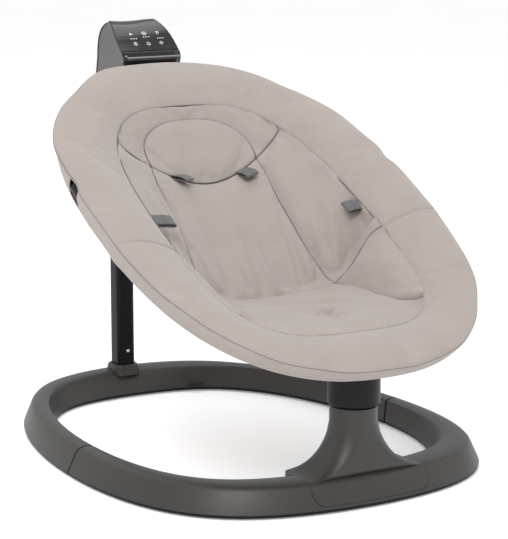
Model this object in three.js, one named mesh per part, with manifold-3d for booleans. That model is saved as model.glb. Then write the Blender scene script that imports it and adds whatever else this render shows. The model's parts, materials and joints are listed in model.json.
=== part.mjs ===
// Baby swing: a floor ring with a pedestal at the foot end and a column at the head end.
// The oval seat hangs between the two on one inclined axis and swings from side to side.
// Millimetres, +Z up, +Y towards the column, origin on the floor under the middle of the whole swing.

import * as THREE from 'three';
import { mergeVertices } from 'three/addons/utils/BufferGeometryUtils.js';
import Module from 'manifold-3d';

const wasm = await Module();
wasm.setup();

const DEG = Math.PI / 180;
const TURN = 2 * Math.PI;
const GAP = 0.3;

// Driving dimensions
const BASE_LENGTH = 700;
const BASE_HEIGHT = 37.5;
const BASE_WALL = 3;
const PAN_THICKNESS = 3.7;
const FOOT_HEIGHT = 1.8;
const JOINT_ANGLE = 85 * DEG;
const MIDDLE_SHIFT = 17.1;

const PEDESTAL_Y = -297;
const PEDESTAL_RADIUS = 30;
const PEDESTAL_TOP = 118;
const COLLAR_RADIUS = 33;
const COLLAR_TOP = 157;

const COLUMN_Y = 319;
const COLUMN_WIDTH = 28;
const COLUMN_DEPTH = 31;
const COLUMN_BOTTOM = BASE_HEIGHT + 1;
const COLUMN_TOP = 388;

const SEAT_CENTRE = new THREE.Vector3(0, -93.3, 340.1);
const SEAT_TILT = 28.3 * DEG;
const RIM = { width: 246, length: 343.5, footLength: 331, power: 2.4, taper: 0.03 };
const INNER = { width: 153, length: 249.6, footLength: 249.6, power: 3.2, taper: -0.03 };
const TUBE_RADIUS = 9.5;
const TUBE_INSET = 17.5;
const TUBE_DROP = -17.5;

const AXIS_POINT = new THREE.Vector3(0, PEDESTAL_Y, 148);
const AXIS_TILT = 29.5 * DEG;
const SHAFT_RADIUS = 6;

const colours = {
  fabric: 0xbeb2aa, ring: 0x585552, black: 0x242424, gloss: 0x18181a, socket: 0x2c2c2c,
  plate: 0x73716f, strip: 0x8a8a8a, webbing: 0x767873, steel: 0xb0b0b2, brass: 0xb89a5a,
  rubber: 0x1c1c1c, board: 0x2f5a3a,
};

const swing = new THREE.Group();
swing.name = 'baby_swing';
swing.position.y = MIDDLE_SHIFT;

function part(name, geometry, colour, roughness = 0.6, metalness = 0, parent = swing) {
  const material = new THREE.MeshStandardMaterial({ color: colours[colour], roughness, metalness });
  const mesh = new THREE.Mesh(geometry, material);
  mesh.name = name;
  parent.add(mesh);
  return mesh;
}

// ---------- Solid helpers ----------

function solid(geometry) {
  const bare = geometry.clone();
  bare.deleteAttribute('normal');
  bare.deleteAttribute('uv');
  const merged = mergeVertices(bare, 1e-4);
  return new wasm.Manifold(new wasm.Mesh({
    numProp: 3,
    vertProperties: new Float32Array(merged.attributes.position.array),
    triVerts: new Uint32Array(merged.index.array),
  }));
}

function toGeometry(manifold) {
  const mesh = manifold.getMesh();
  const geometry = new THREE.BufferGeometry();
  geometry.setAttribute('position', new THREE.BufferAttribute(new Float32Array(mesh.vertProperties), 3));
  geometry.setIndex(new THREE.BufferAttribute(new Uint32Array(mesh.triVerts), 1));
  geometry.computeVertexNormals();
  return geometry;
}

function fromIndex(points, index) {
  let volume = 0;
  for (let i = 0; i < index.length; i += 3) {
    const [a, b, c] = [points[index[i]], points[index[i + 1]], points[index[i + 2]]];
    volume += a.dot(b.clone().cross(c));
  }
  if (volume < 0) index.reverse();
  const geometry = new THREE.BufferGeometry().setFromPoints(points);
  geometry.setIndex(index);
  geometry.computeVertexNormals();
  return geometry;
}

// Triangles of a flat or nearly flat closed outline, in the outline's own direction.
function capTriangles(outline) {
  const normal = new THREE.Vector3();
  outline.forEach((p, i) => {
    const next = outline[(i + 1) % outline.length];
    normal.add(p.clone().cross(next));
  });
  normal.normalize();
  const across = outline[1].clone().sub(outline[0]).projectOnPlane(normal).normalize();
  const up = normal.clone().cross(across);
  const flat = outline.map((p) => new THREE.Vector2(p.dot(across), p.dot(up)));
  return THREE.ShapeUtils.triangulateShape(flat, []).map(([a, b, c]) => {
    const area = flat[b].clone().sub(flat[a]).cross(flat[c].clone().sub(flat[a]));
    return area > 0 ? [a, b, c] : [a, c, b];
  });
}

// A closed body through sections of equal length; a closed loft has no end caps.
function loft(sections, closed = false) {
  const count = sections[0].length;
  const points = sections.flat();
  const index = [];
  const spans = closed ? sections.length : sections.length - 1;
  for (let i = 0; i < spans; i++) {
    const here = i * count;
    const next = ((i + 1) % sections.length) * count;
    for (let j = 0; j < count; j++) {
      const k = (j + 1) % count;
      index.push(here + j, next + j, next + k, here + j, next + k, here + k);
    }
  }
  if (!closed) {
    const last = (sections.length - 1) * count;
    capTriangles(sections[0]).forEach(([a, b, c]) => index.push(a, b, c));
    capTriangles(sections.at(-1)).forEach(([a, b, c]) => index.push(last + a, last + c, last + b));
  }
  return fromIndex(points, index);
}

function steps(from, to, count) {
  return Array.from({ length: count + 1 }, (_, i) => from + (to - from) * i / count);
}

function cylinder(radius, start, direction, length, sides = 24, endRadius = radius) {
  const geometry = new THREE.CylinderGeometry(endRadius, radius, length, sides);
  const turn = new THREE.Quaternion().setFromUnitVectors(new THREE.Vector3(0, 1, 0), direction);
  geometry.applyQuaternion(turn);
  const middle = start.clone().addScaledVector(direction, length / 2);
  return geometry.translate(middle.x, middle.y, middle.z);
}

function box(sizeX, sizeY, sizeZ, x, y, z) {
  return new THREE.BoxGeometry(sizeX, sizeY, sizeZ).translate(x, y, z);
}

function roundedRectangle(width, depth, radius) {
  const [a, b] = [width / 2, depth / 2];
  const shape = new THREE.Shape();
  shape.moveTo(a, -b + radius);
  shape.lineTo(a, b - radius);
  shape.absarc(a - radius, b - radius, radius, 0, 90 * DEG);
  shape.lineTo(-a + radius, b);
  shape.absarc(-a + radius, b - radius, radius, 90 * DEG, 180 * DEG);
  shape.lineTo(-a, -b + radius);
  shape.absarc(-a + radius, -b + radius, radius, 180 * DEG, 270 * DEG);
  shape.lineTo(a - radius, -b);
  shape.absarc(a - radius, -b + radius, radius, 270 * DEG, 360 * DEG);
  return shape;
}

function extrude(shape, height, curveSegments = 6) {
  return new THREE.ExtrudeGeometry(shape, { depth: height, bevelEnabled: false, curveSegments });
}

// A round tube along a list of points.
function tube(points, radius, stepCount, sides = 10, closedPath = false) {
  const path = new THREE.CatmullRomCurve3(points, closedPath, 'centripetal');
  const circle = new THREE.Shape().absarc(0, 0, radius, 0, TURN);
  return new THREE.ExtrudeGeometry(circle, {
    steps: stepCount, extrudePath: path, bevelEnabled: false, curveSegments: sides / 2,
  });
}

// ---------- Base ring ----------

// Egg-shaped outer outline; angle 0 is the foot end (-Y), broad, and 180 degrees the head end.
function baseOutline(angle) {
  const x = 269.2 * Math.sin(angle) + 19.2 * Math.sin(2 * angle) + 4.4 * Math.sin(3 * angle);
  const y = -BASE_LENGTH / 2 * Math.cos(angle) + 19.8 * (Math.cos(3 * angle) - Math.cos(angle));
  return new THREE.Vector2(x, y);
}

function baseInward(angle) {
  const step = 0.001;
  const along = baseOutline(angle + step).sub(baseOutline(angle - step)).normalize();
  return new THREE.Vector2(-along.y, along.x);
}

// Widths of the section's three faces: outer slope, top and inner slope.
function baseFaces(angle) {
  const [c1, c2] = [Math.cos(angle), Math.cos(2 * angle)];
  return { outer: 13.9 + 1.5 * c1 - 2.2 * c2, top: 30 + 8.1 * c1 + 8.6 * c2, inner: 17.3 + 7.1 * c1 + 14.9 * c2 };
}

const COVER_BOTTOM = FOOT_HEIGHT + PAN_THICKNESS + 2 * GAP;

// Outline of the moulded cover, a channel open below: inward distance and height.
function coverProfile(angle, grow = 0, hollow = true) {
  const face = baseFaces(angle);
  const [a, b, c] = [face.outer, face.outer + face.top, face.outer + face.top + face.inner];
  const top = BASE_HEIGHT + grow;
  const low = COVER_BOTTOM;
  const round = 5;
  const profile = [
    [-grow, low], [a * 0.8 - grow, top - round], [a + 0.6 - grow * 0.7, top - 1.6], [a + round, top],
    [(a + b) / 2, top + 0.8],
    [b - round, top], [b - 0.6 + grow * 0.7, top - 1.6], [b + (c - b) * 0.16 + grow, top - round], [c + grow, low],
  ];
  if (hollow) {
    profile.push([c - BASE_WALL - 1, low], [b - 1.5, top - BASE_WALL - 1]);
    profile.push([a + BASE_WALL, top - BASE_WALL - 1], [BASE_WALL + 0.5, low]);
  }
  return profile;
}

function place(angle, profile) {
  const edge = baseOutline(angle);
  const inward = baseInward(angle);
  return profile.map(([s, z]) => new THREE.Vector3(edge.x + inward.x * s, edge.y + inward.y * s, z));
}

function ringPiece(from, to, count, profileAt) {
  return loft(steps(from, to, count).map((angle) => place(angle, profileAt(angle))));
}

function panProfile(angle) {
  const face = baseFaces(angle);
  const width = face.outer + face.top + face.inner;
  return [
    [1, FOOT_HEIGHT + GAP], [1, FOOT_HEIGHT + GAP + PAN_THICKNESS],
    [width - 1, FOOT_HEIGHT + GAP + PAN_THICKNESS], [width - 1, FOOT_HEIGHT + GAP],
  ];
}

function footProfile(angle) {
  const face = baseFaces(angle);
  const width = face.outer + face.top + face.inner;
  return [[width * 0.3, 0], [width * 0.3, FOOT_HEIGHT], [width * 0.62, FOOT_HEIGHT], [width * 0.62, 0]];
}

// The pedestal saddle takes a round-cornered bite out of the front cover and fills it flush.
function saddleZone(grow) {
  const zone = roundedRectangle(172 + 2 * grow, 180 + 2 * grow, 16);
  const body = extrude(zone, 160);
  body.rotateX(90 * DEG);
  return solid(body.translate(2, -230, 10 + 90));
}

// A box-like outline with its own corner rounding at the front and at the rear.
function webOutline(halfWidth, front, rear, frontRound, rearRound) {
  const corners = [[1, rear, -1, rearRound], [-1, rear, -1, rearRound], [-1, front, 1, frontRound], [1, front, 1, frontRound]];
  return corners.flatMap(([side, y, inward, round], corner) => (
    steps(corner * 90 * DEG, (corner + 1) * 90 * DEG, 9).map((angle) => new THREE.Vector2(
      side * (halfWidth - round) + round * Math.cos(angle), y + inward * round + round * Math.sin(angle)))));
}

// The pedestal: round at the top. Below, its front runs down flush into the ring's outer wall, and
// both flanks sweep out along the ring from ridges that start at the round neck.
function pedestalFlare() {
  const roundFrom = 100;
  const levels = [14, 26, 37, 38.5, 40, 42.5, 46, 51, 57, 64, 73, 84, roundFrom, PEDESTAL_TOP];
  const sections = levels.map((z) => {
    const drop = Math.min(0.998, Math.max(0, roundFrom - z) / (roundFrom - BASE_HEIGHT));
    const bend = 1 - Math.sqrt(1 - drop ** 2);
    const halfWidth = PEDESTAL_RADIUS + 55.5 * bend;
    const front = PEDESTAL_Y - PEDESTAL_RADIUS - 8.5 * drop ** 1.5;
    const rear = PEDESTAL_Y + PEDESTAL_RADIUS;
    const narrow = (1 - drop) ** 0.6;
    const frontRound = 4 + (PEDESTAL_RADIUS - 4.1) * narrow;
    const rearRound = 12 + (PEDESTAL_RADIUS - 12.1) * narrow;
    return webOutline(halfWidth, front, rear, frontRound, rearRound).map((p) => (
      new THREE.Vector3(p.x, p.y + 8 * (p.x / 84) ** 2, z)));
  });
  return solid(loft(sections));
}

function buildBase() {
  const up = new THREE.Vector3(0, 0, 1);
  const seam = 0.25 * DEG;
  const frontCover = solid(ringPiece(-JOINT_ANGLE + seam, JOINT_ANGLE - seam, 44, (a) => coverProfile(a)));
  part('front_base_ring', toGeometry(frontCover.subtract(saddleZone(0.4))), 'ring', 0.55);
  const rearCover = ringPiece(JOINT_ANGLE + seam, TURN - JOINT_ANGLE - seam, 44, (a) => coverProfile(a));
  part('rear_base_ring', rearCover, 'ring', 0.55);
  part('front_base_pan', ringPiece(-JOINT_ANGLE + seam, JOINT_ANGLE - seam, 36, panProfile), 'rubber', 0.8);
  part('rear_base_pan', ringPiece(JOINT_ANGLE + seam, TURN - JOINT_ANGLE - seam, 36, panProfile), 'rubber', 0.8);
  const feet = { front: 0, front_left: -55, front_right: 55, rear_left: -118, rear_right: 118, rear: 180 };
  for (const [name, middle] of Object.entries(feet)) {
    const pad = ringPiece((middle - 6) * DEG, (middle + 6) * DEG, 4, footProfile);
    part(`foot_pad_${name}`, pad, 'rubber', 0.9);
  }

  const shell = solid(ringPiece(-20 * DEG, 20 * DEG, 14, (a) => coverProfile(a)));
  const bore = solid(cylinder(PEDESTAL_RADIUS - 4, new THREE.Vector3(0, PEDESTAL_Y, 0), up, PEDESTAL_TOP - 4, 32));
  const saddle = shell.add(pedestalFlare()).subtract(bore).intersect(saddleZone(0));
  part('pedestal_saddle', toGeometry(saddle), 'ring', 0.55);
}

// ---------- Column ----------

const BUTTON_HEIGHT = 67;
const BUTTON_RADIUS = 3;

function buildColumn() {
  const wall = 3;
  const middle = (geometry) => geometry.translate(0, COLUMN_Y, 0);
  const outer = roundedRectangle(COLUMN_WIDTH, COLUMN_DEPTH, 8);
  outer.holes.push(roundedRectangle(COLUMN_WIDTH - 2 * wall, COLUMN_DEPTH - 2 * wall, 5));
  const tubeBody = middle(extrude(outer, COLUMN_TOP - COLUMN_BOTTOM).translate(0, 0, COLUMN_BOTTOM));
  const front = COLUMN_Y - COLUMN_DEPTH / 2;
  const back = new THREE.Vector3(0, 1, 0);
  const hole = cylinder(BUTTON_RADIUS + 0.4, new THREE.Vector3(0, front - 5, BUTTON_HEIGHT), back, 12);
  part('column', toGeometry(solid(tubeBody).subtract(solid(hole))), 'black', 0.45);

  // The socket is a low flange round the column that follows the ring's top.
  const socketTop = BASE_HEIGHT + 8.5;
  const outline = roundedRectangle(COLUMN_WIDTH + 13, COLUMN_DEPTH + 12, 11).getPoints(6).slice(0, -1);
  const levels = [[BASE_HEIGHT - 7, 0], [BASE_HEIGHT - 3, 0], [socketTop - 2, -1.5], [socketTop, -3]];
  const sections = levels.map(([z, grow]) => outline.map((p) => (
    new THREE.Vector3(p.x + Math.sign(p.x) * grow, p.y + Math.sign(p.y) * grow + COLUMN_Y, z))));
  const column = middle(extrude(roundedRectangle(COLUMN_WIDTH + 2 * GAP, COLUMN_DEPTH + 2 * GAP, 8.3), 60));
  const ring = ringPiece(160 * DEG, 200 * DEG, 10, (a) => coverProfile(a, GAP, false));
  const socket = solid(loft(sections)).subtract(solid(column)).subtract(solid(ring));
  part('column_socket', toGeometry(socket), 'socket', 0.5);

  // Sprung snap button that locks the column in the socket.
  const dome = new THREE.LatheGeometry([
    new THREE.Vector2(0, 0), new THREE.Vector2(7, 0), new THREE.Vector2(7, 1.5), new THREE.Vector2(BUTTON_RADIUS, 1.5),
    new THREE.Vector2(BUTTON_RADIUS, 5.5), new THREE.Vector2(2.4, 7.1), new THREE.Vector2(1.4, 8),
    new THREE.Vector2(0, 8.4),
  ], 20);
  dome.rotateX(180 * DEG);
  part('column_lock_button', dome.translate(0, front + wall + 1.8, BUTTON_HEIGHT), 'steel', 0.3, 0.9);
}

// ---------- Swing axis ----------

const alongAxis = new THREE.Vector3(0, Math.cos(AXIS_TILT), Math.sin(AXIS_TILT));
const offAxis = new THREE.Vector3(0, -Math.sin(AXIS_TILT), Math.cos(AXIS_TILT));

// A point at a distance along the axis from its foot, and a height square to it.
function onAxis(distance, height = 0, x = 0) {
  const point = AXIS_POINT.clone().addScaledVector(alongAxis, distance).addScaledVector(offAxis, height);
  point.x = x;
  return point;
}

function distanceAtY(y) {
  return (y - AXIS_POINT.y) / alongAxis.y;
}

const LOWER_HUB = 42;
const HUB_RADIUS = 14;
const HUB_LENGTH = 20;

function axisRing(outer, inner, from, length, sides = 32) {
  const body = solid(cylinder(outer, onAxis(from), alongAxis, length, sides));
  return body.subtract(solid(cylinder(inner, onAxis(from - 1), alongAxis, length + 2, sides)));
}

function buildLowerPivot() {
  const up = new THREE.Vector3(0, 0, 1);
  const base = new THREE.Vector3(0, PEDESTAL_Y, PEDESTAL_TOP + GAP);
  const spigot = solid(cylinder(PEDESTAL_RADIUS - 3, base, up, 6, 40));
  const chamferFoot = base.clone().setZ(PEDESTAL_TOP + 2.2);
  const chamfer = solid(cylinder(COLLAR_RADIUS - 1.6, chamferFoot, up, 1.8, 48, COLLAR_RADIUS));
  const barrelFoot = base.clone().setZ(PEDESTAL_TOP + 4);
  const barrel = solid(cylinder(COLLAR_RADIUS, barrelFoot, up, COLLAR_TOP - PEDESTAL_TOP - 4, 48));
  const boss = solid(cylinder(13, onAxis(0), alongAxis, LOWER_HUB - 3.5, 32));
  const bore = solid(cylinder(9.3, onAxis(-14), alongAxis, 70, 32));
  part('pivot_housing', toGeometry(spigot.add(chamfer).add(barrel).add(boss).subtract(bore)), 'black', 0.5);
  part('pivot_bush', toGeometry(axisRing(9, SHAFT_RADIUS + 0.35, -6, LOWER_HUB - 3)), 'brass', 0.4, 0.8);
  part('pivot_shaft', cylinder(SHAFT_RADIUS, onAxis(-10), alongAxis, LOWER_HUB + HUB_LENGTH + 12), 'steel', 0.3, 0.9);
  part('thrust_washer', toGeometry(axisRing(11, SHAFT_RADIUS + 0.35, LOWER_HUB - 2.8, 2)), 'steel', 0.4, 0.9);
}

// ---------- Seat shape ----------

const alongSeat = new THREE.Vector3(0, Math.cos(SEAT_TILT), Math.sin(SEAT_TILT));
const offSeat = new THREE.Vector3(0, -Math.sin(SEAT_TILT), Math.cos(SEAT_TILT));

// A point of the seat: across, towards the head, and above the rim's plane.
function onSeat(across, along, above) {
  const point = SEAT_CENTRE.clone().addScaledVector(alongSeat, along).addScaledVector(offSeat, above);
  point.x = across;
  return point;
}

// Rounded oval, measured in the rim's plane; angle 90 degrees is the head end.
function oval(shape, angle) {
  const [c, s] = [Math.cos(angle), Math.sin(angle)];
  const x = Math.sign(c) * Math.abs(c) ** (2 / shape.power);
  const y = Math.sign(s) * Math.abs(s) ** (2 / shape.power);
  const length = y < 0 ? shape.footLength : shape.length;
  return new THREE.Vector2(shape.width * x * (1 + shape.taper * y), length * y);
}

function ovalInset(shape, angle, inset) {
  const step = 0.004;
  const along = oval(shape, angle + step).sub(oval(shape, angle - step)).normalize();
  return oval(shape, angle).add(new THREE.Vector2(-along.y, along.x).multiplyScalar(inset));
}

// Height of the cover's inner seam, lower at the sides than at the ends.
function innerSeamHeight(across) {
  return -10 - 11 * (across / INNER.width) ** 2;
}

// Depth of the seat along its middle line: head rest, back, crease and the slope under the legs.
const middleLine = new THREE.CatmullRomCurve3([
  new THREE.Vector3(-INNER.length, 0, -10), new THREE.Vector3(-200, 0, -34), new THREE.Vector3(-120, 0, -80),
  new THREE.Vector3(-53, 0, -113), new THREE.Vector3(30, 0, -95), new THREE.Vector3(127, 0, -68),
  new THREE.Vector3(200, 0, -45), new THREE.Vector3(INNER.length, 0, -10),
], false, 'catmullrom', 0.5);
const middleSamples = middleLine.getPoints(120);

function middleDepth(along) {
  const after = middleSamples.findIndex((p) => p.x >= along);
  if (after <= 0) return -10;
  const [a, b] = [middleSamples[after - 1], middleSamples[after]];
  return a.z + (b.z - a.z) * (along - a.x) / (b.x - a.x);
}

// The back is a round trough, and the seat under the legs is flatter across.
function seatHeight(across, along) {
  const power = THREE.MathUtils.lerp(2.3, 1.75, THREE.MathUtils.smoothstep(along, -60, 60));
  const y = Math.min(1, Math.abs(along) / INNER.length);
  const halfWidth = INNER.width * (1 + INNER.taper * along / INNER.length) * (1 - y ** INNER.power) ** (1 / INNER.power);
  const x = Math.min(1, Math.abs(across) / Math.max(halfWidth, 1));
  const edge = innerSeamHeight(across);
  const depth = Math.min(middleDepth(along), edge);
  return edge + (depth - edge) * (1 - x ** power) ** (1 / power);
}

// ---------- Seat frame ----------

function framePoint(angle) {
  const p = ovalInset(RIM, angle, TUBE_INSET);
  return onSeat(p.x, p.y, TUBE_DROP);
}

function frameTube(from, to) {
  return tube(steps(from, to, 40).map(framePoint), TUBE_RADIUS, 48, 10);
}

// A sleeve around the frame tube between two angles.
function sleeve(from, to, radius) {
  const points = steps(from, to, 6).map(framePoint);
  const outside = solid(tube(points, radius, 8, 16));
  const inside = solid(tube(steps(from - 0.03, to + 0.03, 8).map(framePoint), TUBE_RADIUS + 0.5, 12, 16));
  return outside.subtract(inside);
}

const CONNECTOR_ANGLES = { right: -5 * DEG, left: 185 * DEG };
const TOY_BAR_ANGLES = { right: 10.6 * DEG, left: 169.4 * DEG };

function buildSeatFrame() {
  const split = 0.002;
  const [right, left] = [CONNECTOR_ANGLES.right, CONNECTOR_ANGLES.left];
  part('head_tube', frameTube(right + split, left - split), 'black', 0.4, 0.5);
  part('foot_tube', frameTube(left + split, right + TURN - split), 'black', 0.4, 0.5);
  for (const [side, angle] of Object.entries(CONNECTOR_ANGLES)) {
    part(`tube_connector_${side}`, toGeometry(sleeve(angle - 0.05, angle + 0.05, TUBE_RADIUS + 2.5)), 'black', 0.5);
  }
  for (const [side, angle] of Object.entries(TOY_BAR_ANGLES)) {
    part(`toy_bar_socket_${side}`, toGeometry(sleeve(angle - 0.035, angle + 0.035, TUBE_RADIUS + 2.7)), 'black', 0.5);
  }

  // Foot bracket: a bent tube from one side of the foot tube, under the seat and through the lower hub.
  const grip = (side) => {
    const p = ovalInset(RIM, (side * 25 - 90) * DEG, TUBE_INSET + 13);
    return onSeat(p.x, p.y, TUBE_DROP - 10.5);
  };
  const arm = (side) => [
    grip(side), onSeat(side * 88, -256, -44), onSeat(side * 60, -250, -60),
    onAxis(LOWER_HUB + HUB_LENGTH / 2, -2, side * 30),
  ];
  const armPoints = [...arm(-1), onAxis(LOWER_HUB + HUB_LENGTH / 2, -2), ...arm(1).reverse()];
  const lowerHub = solid(cylinder(HUB_RADIUS, onAxis(LOWER_HUB), alongAxis, HUB_LENGTH, 32));
  const lowerHole = solid(cylinder(SHAFT_RADIUS + 0.3, onAxis(LOWER_HUB - 1), alongAxis, HUB_LENGTH + 2, 24));
  const lowerBracket = solid(tube(armPoints, 6.5, 48, 10)).add(lowerHub).subtract(lowerHole);
  part('foot_bracket', toGeometry(lowerBracket), 'black', 0.4, 0.5);

  // Head bracket: a lug from the upper hub up to the head tube.
  const hubStart = distanceAtY(199);
  const upperHub = solid(cylinder(HUB_RADIUS, onAxis(hubStart), alongAxis, 30, 32));
  const lug = solid(box(36, 18, 34, 0, 0, 0).rotateX(SEAT_TILT).translate(...onSeat(0, 322, -43).toArray()));
  const tubeCut = solid(tube(steps(70 * DEG, 110 * DEG, 8).map(framePoint), TUBE_RADIUS + 0.5, 12, 16));
  const upperHole = solid(cylinder(SHAFT_RADIUS + 0.3, onAxis(hubStart - 1), alongAxis, 40, 24));
  part('head_bracket', toGeometry(upperHub.add(lug).subtract(tubeCut).subtract(upperHole)), 'black', 0.4, 0.5);
}

// ---------- Soft parts ----------

function buildRimCover() {
  const sections = steps(0, TURN * 71 / 72, 71).map((angle) => {
    const outer = oval(RIM, angle);
    const inner = oval(INNER, angle);
    const seam = innerSeamHeight(inner.x);
    const width = outer.distanceTo(inner);
    const at = (inset, above) => {
      const f = inset / width;
      const p = outer.clone().lerp(inner, f);
      return onSeat(p.x, p.y, above);
    };
    const low = seam - 14;
    return [
      at(0, -1), at(6, 1), at(width * 0.5, seam * 0.5 + 3), at(width - 2, seam),
      at(width - 2, low), at(40, -20), at(38, -4.2), at(5, -4.2), at(4.8, -15), at(0.3, -15),
    ];
  });
  part('rim_cover', loft(sections, true), 'fabric', 0.9);
}

// A cushion between two heights over a round grid: rings from the middle out to the rim.
function cushion(pointAt, top, bottom, rings, spokes) {
  const points = [];
  for (const height of [top, bottom]) {
    points.push(pointAt(0, 0, height));
    for (const r of steps(1 / rings, 1, rings - 1)) {
      for (let s = 0; s < spokes; s++) points.push(pointAt(r, TURN * s / spokes, height));
    }
  }
  const layer = 1 + rings * spokes;
  const at = (side, ring, s) => side * layer + 1 + ring * spokes + (s % spokes);
  const index = [];
  for (const side of [0, 1]) {
    const add = (a, b, c) => (side === 0 ? index.push(a, b, c) : index.push(a, c, b));
    for (let s = 0; s < spokes; s++) {
      add(side * layer, at(side, 0, s), at(side, 0, s + 1));
      for (let r = 0; r < rings - 1; r++) {
        add(at(side, r, s), at(side, r + 1, s), at(side, r + 1, s + 1));
        add(at(side, r, s), at(side, r + 1, s + 1), at(side, r, s + 1));
      }
    }
  }
  for (let s = 0; s < spokes; s++) {
    const [a, b] = [at(0, rings - 1, s), at(0, rings - 1, s + 1)];
    const [c, d] = [at(1, rings - 1, s), at(1, rings - 1, s + 1)];
    index.push(a, c, d, a, d, b);
  }
  return fromIndex(points, index);
}

const LINER_THICKNESS = 11;

function buildLiner() {
  const point = (fraction, angle, below) => {
    const p = oval(INNER, angle).multiplyScalar(Math.sin(fraction * 90 * DEG));
    return onSeat(0.99 * p.x, 0.99 * p.y, seatHeight(p.x, p.y) - below);
  };
  part('seat_liner', cushion(point, 0, LINER_THICKNESS, 9, 44), 'fabric', 0.9);
}

const HEAD_PAD = { middle: 180, halfWidth: 80, halfLength: 50, thickness: 9 };

function buildHeadPad() {
  const point = (r, angle, above) => {
    const across = HEAD_PAD.halfWidth * r * Math.cos(angle);
    const along = HEAD_PAD.middle + HEAD_PAD.halfLength * r * Math.sin(angle);
    const crown = above * Math.sqrt(Math.max(0, 1 - 0.8 * r * r));
    return onSeat(across, along, seatHeight(across, along) + 4 + crown);
  };
  part('head_pad', cushion(point, HEAD_PAD.thickness, 0, 5, 28), 'fabric', 0.9);
}

// A folded webbing loop that comes out of a slot in the liner.
function buildStraps() {
  const straps = {
    shoulder_strap_left: { across: -52, along: 125, above: -60, heading: -60 },
    shoulder_strap_right: { across: 52, along: 125, above: -60, heading: -120 },
    waist_strap_left: { across: -143, along: 2, above: -14, heading: 0 },
    waist_strap_right: { across: 143, along: 2, above: -14, heading: 180 },
  };
  for (const [name, { across, along, above, heading }] of Object.entries(straps)) {
    const loop = new THREE.Shape();
    loop.moveTo(0, 0);
    loop.quadraticCurveTo(0, 10, 12, 11);
    loop.lineTo(24, 11);
    loop.absarc(24, 9, 2, 90 * DEG, -90 * DEG, true);
    loop.lineTo(13, 7);
    loop.quadraticCurveTo(5, 6, 4, 0);
    const webbing = extrude(loop, 20, 5).translate(0, 0, -10);
    webbing.rotateX(90 * DEG);
    const holder = new THREE.Group();
    holder.position.copy(onSeat(across, along, above));
    holder.rotation.set(SEAT_TILT, 0, 0);
    holder.rotateZ(heading * DEG);
    swing.add(holder);
    part(name, webbing, 'webbing', 0.85, 0, holder);
  }
}

// ---------- Head pod ----------

// Side outline of the pod: chin at the front, crown, then down the back to the column.
const podCurve = new THREE.CatmullRomCurve3([
  [339, 392], [338, 408], [333, 424], [323, 447], [311, 472], [303, 497], [294, 526], [286, 545], [274, 553.5],
  [260, 549.5], [245, 539], [230, 524.5], [218, 510.5], [220, 496], [226, 478], [234, 458], [246, 438],
  [266, 420], [290, 408], [300, 392],
].map(([y, z]) => new THREE.Vector3(0, y, z)), true, 'centripetal');
const podOutline = podCurve.getPoints(64).slice(0, -1).map((p) => new THREE.Vector2(p.y, p.z));

function insetOutline(inset) {
  return podOutline.map((p, i) => {
    const before = podOutline.at(i - 1);
    const after = podOutline[(i + 1) % podOutline.length];
    const along = after.clone().sub(before).normalize();
    return new THREE.Vector2(p.x - along.y * inset, p.y + along.x * inset);
  });
}

// The pod is widest at the chin, a little narrower at the crown, and narrows to the column below.
function podWidth(z) {
  const crown = 1 - 0.18 * THREE.MathUtils.smoothstep(z, 500, 556);
  const neck = THREE.MathUtils.lerp(0.46, 1, THREE.MathUtils.smoothstep(z, 396, 478));
  return crown * neck;
}

// Everything of the pod that lies closer to its middle plane than the sides, less an inset.
function podWaist(inset) {
  const heights = steps(370, 560, 19);
  const right = heights.map((z) => new THREE.Vector2(POD_HALF_WIDTH * podWidth(z) - inset, z));
  const left = heights.map((z) => new THREE.Vector2(-POD_HALF_WIDTH * podWidth(z) + inset, z));
  const body = extrude(new THREE.Shape([...right, ...left.reverse()]), 180).rotateX(90 * DEG);
  return solid(body.translate(0, 370, 0));
}

// An outline drawn in the side view, as a body across the whole width of the pod.
function podSlice(outline, hole = null) {
  const shape = new THREE.Shape(outline);
  if (hole) shape.holes.push(new THREE.Path(hole));
  const turned = new THREE.Matrix4().makeBasis(
    new THREE.Vector3(0, 1, 0), new THREE.Vector3(0, 0, 1), new THREE.Vector3(1, 0, 0));
  return solid(extrude(shape, 120).translate(0, 0, -60).applyMatrix4(turned));
}

const POD_HALF_WIDTH = 44;
const PLATE_THICKNESS = 5;
const SKIN = 2.7;

// The part of the pod's skin between two heights on its front or its back. It frames the side plates.
function podSkin(from, to, outset = 0) {
  const whole = podOutline.length;
  const outer = insetOutline(-outset);
  const inner = insetOutline(SKIN - GAP);
  const picked = Array.from({ length: to - from + 1 }, (_, i) => (from + i + whole) % whole);
  const outline = [...picked.map((i) => outer[i]), ...picked.reverse().map((i) => inner[i])];
  return toGeometry(podSlice(outline).intersect(podWaist(0)));
}

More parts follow.
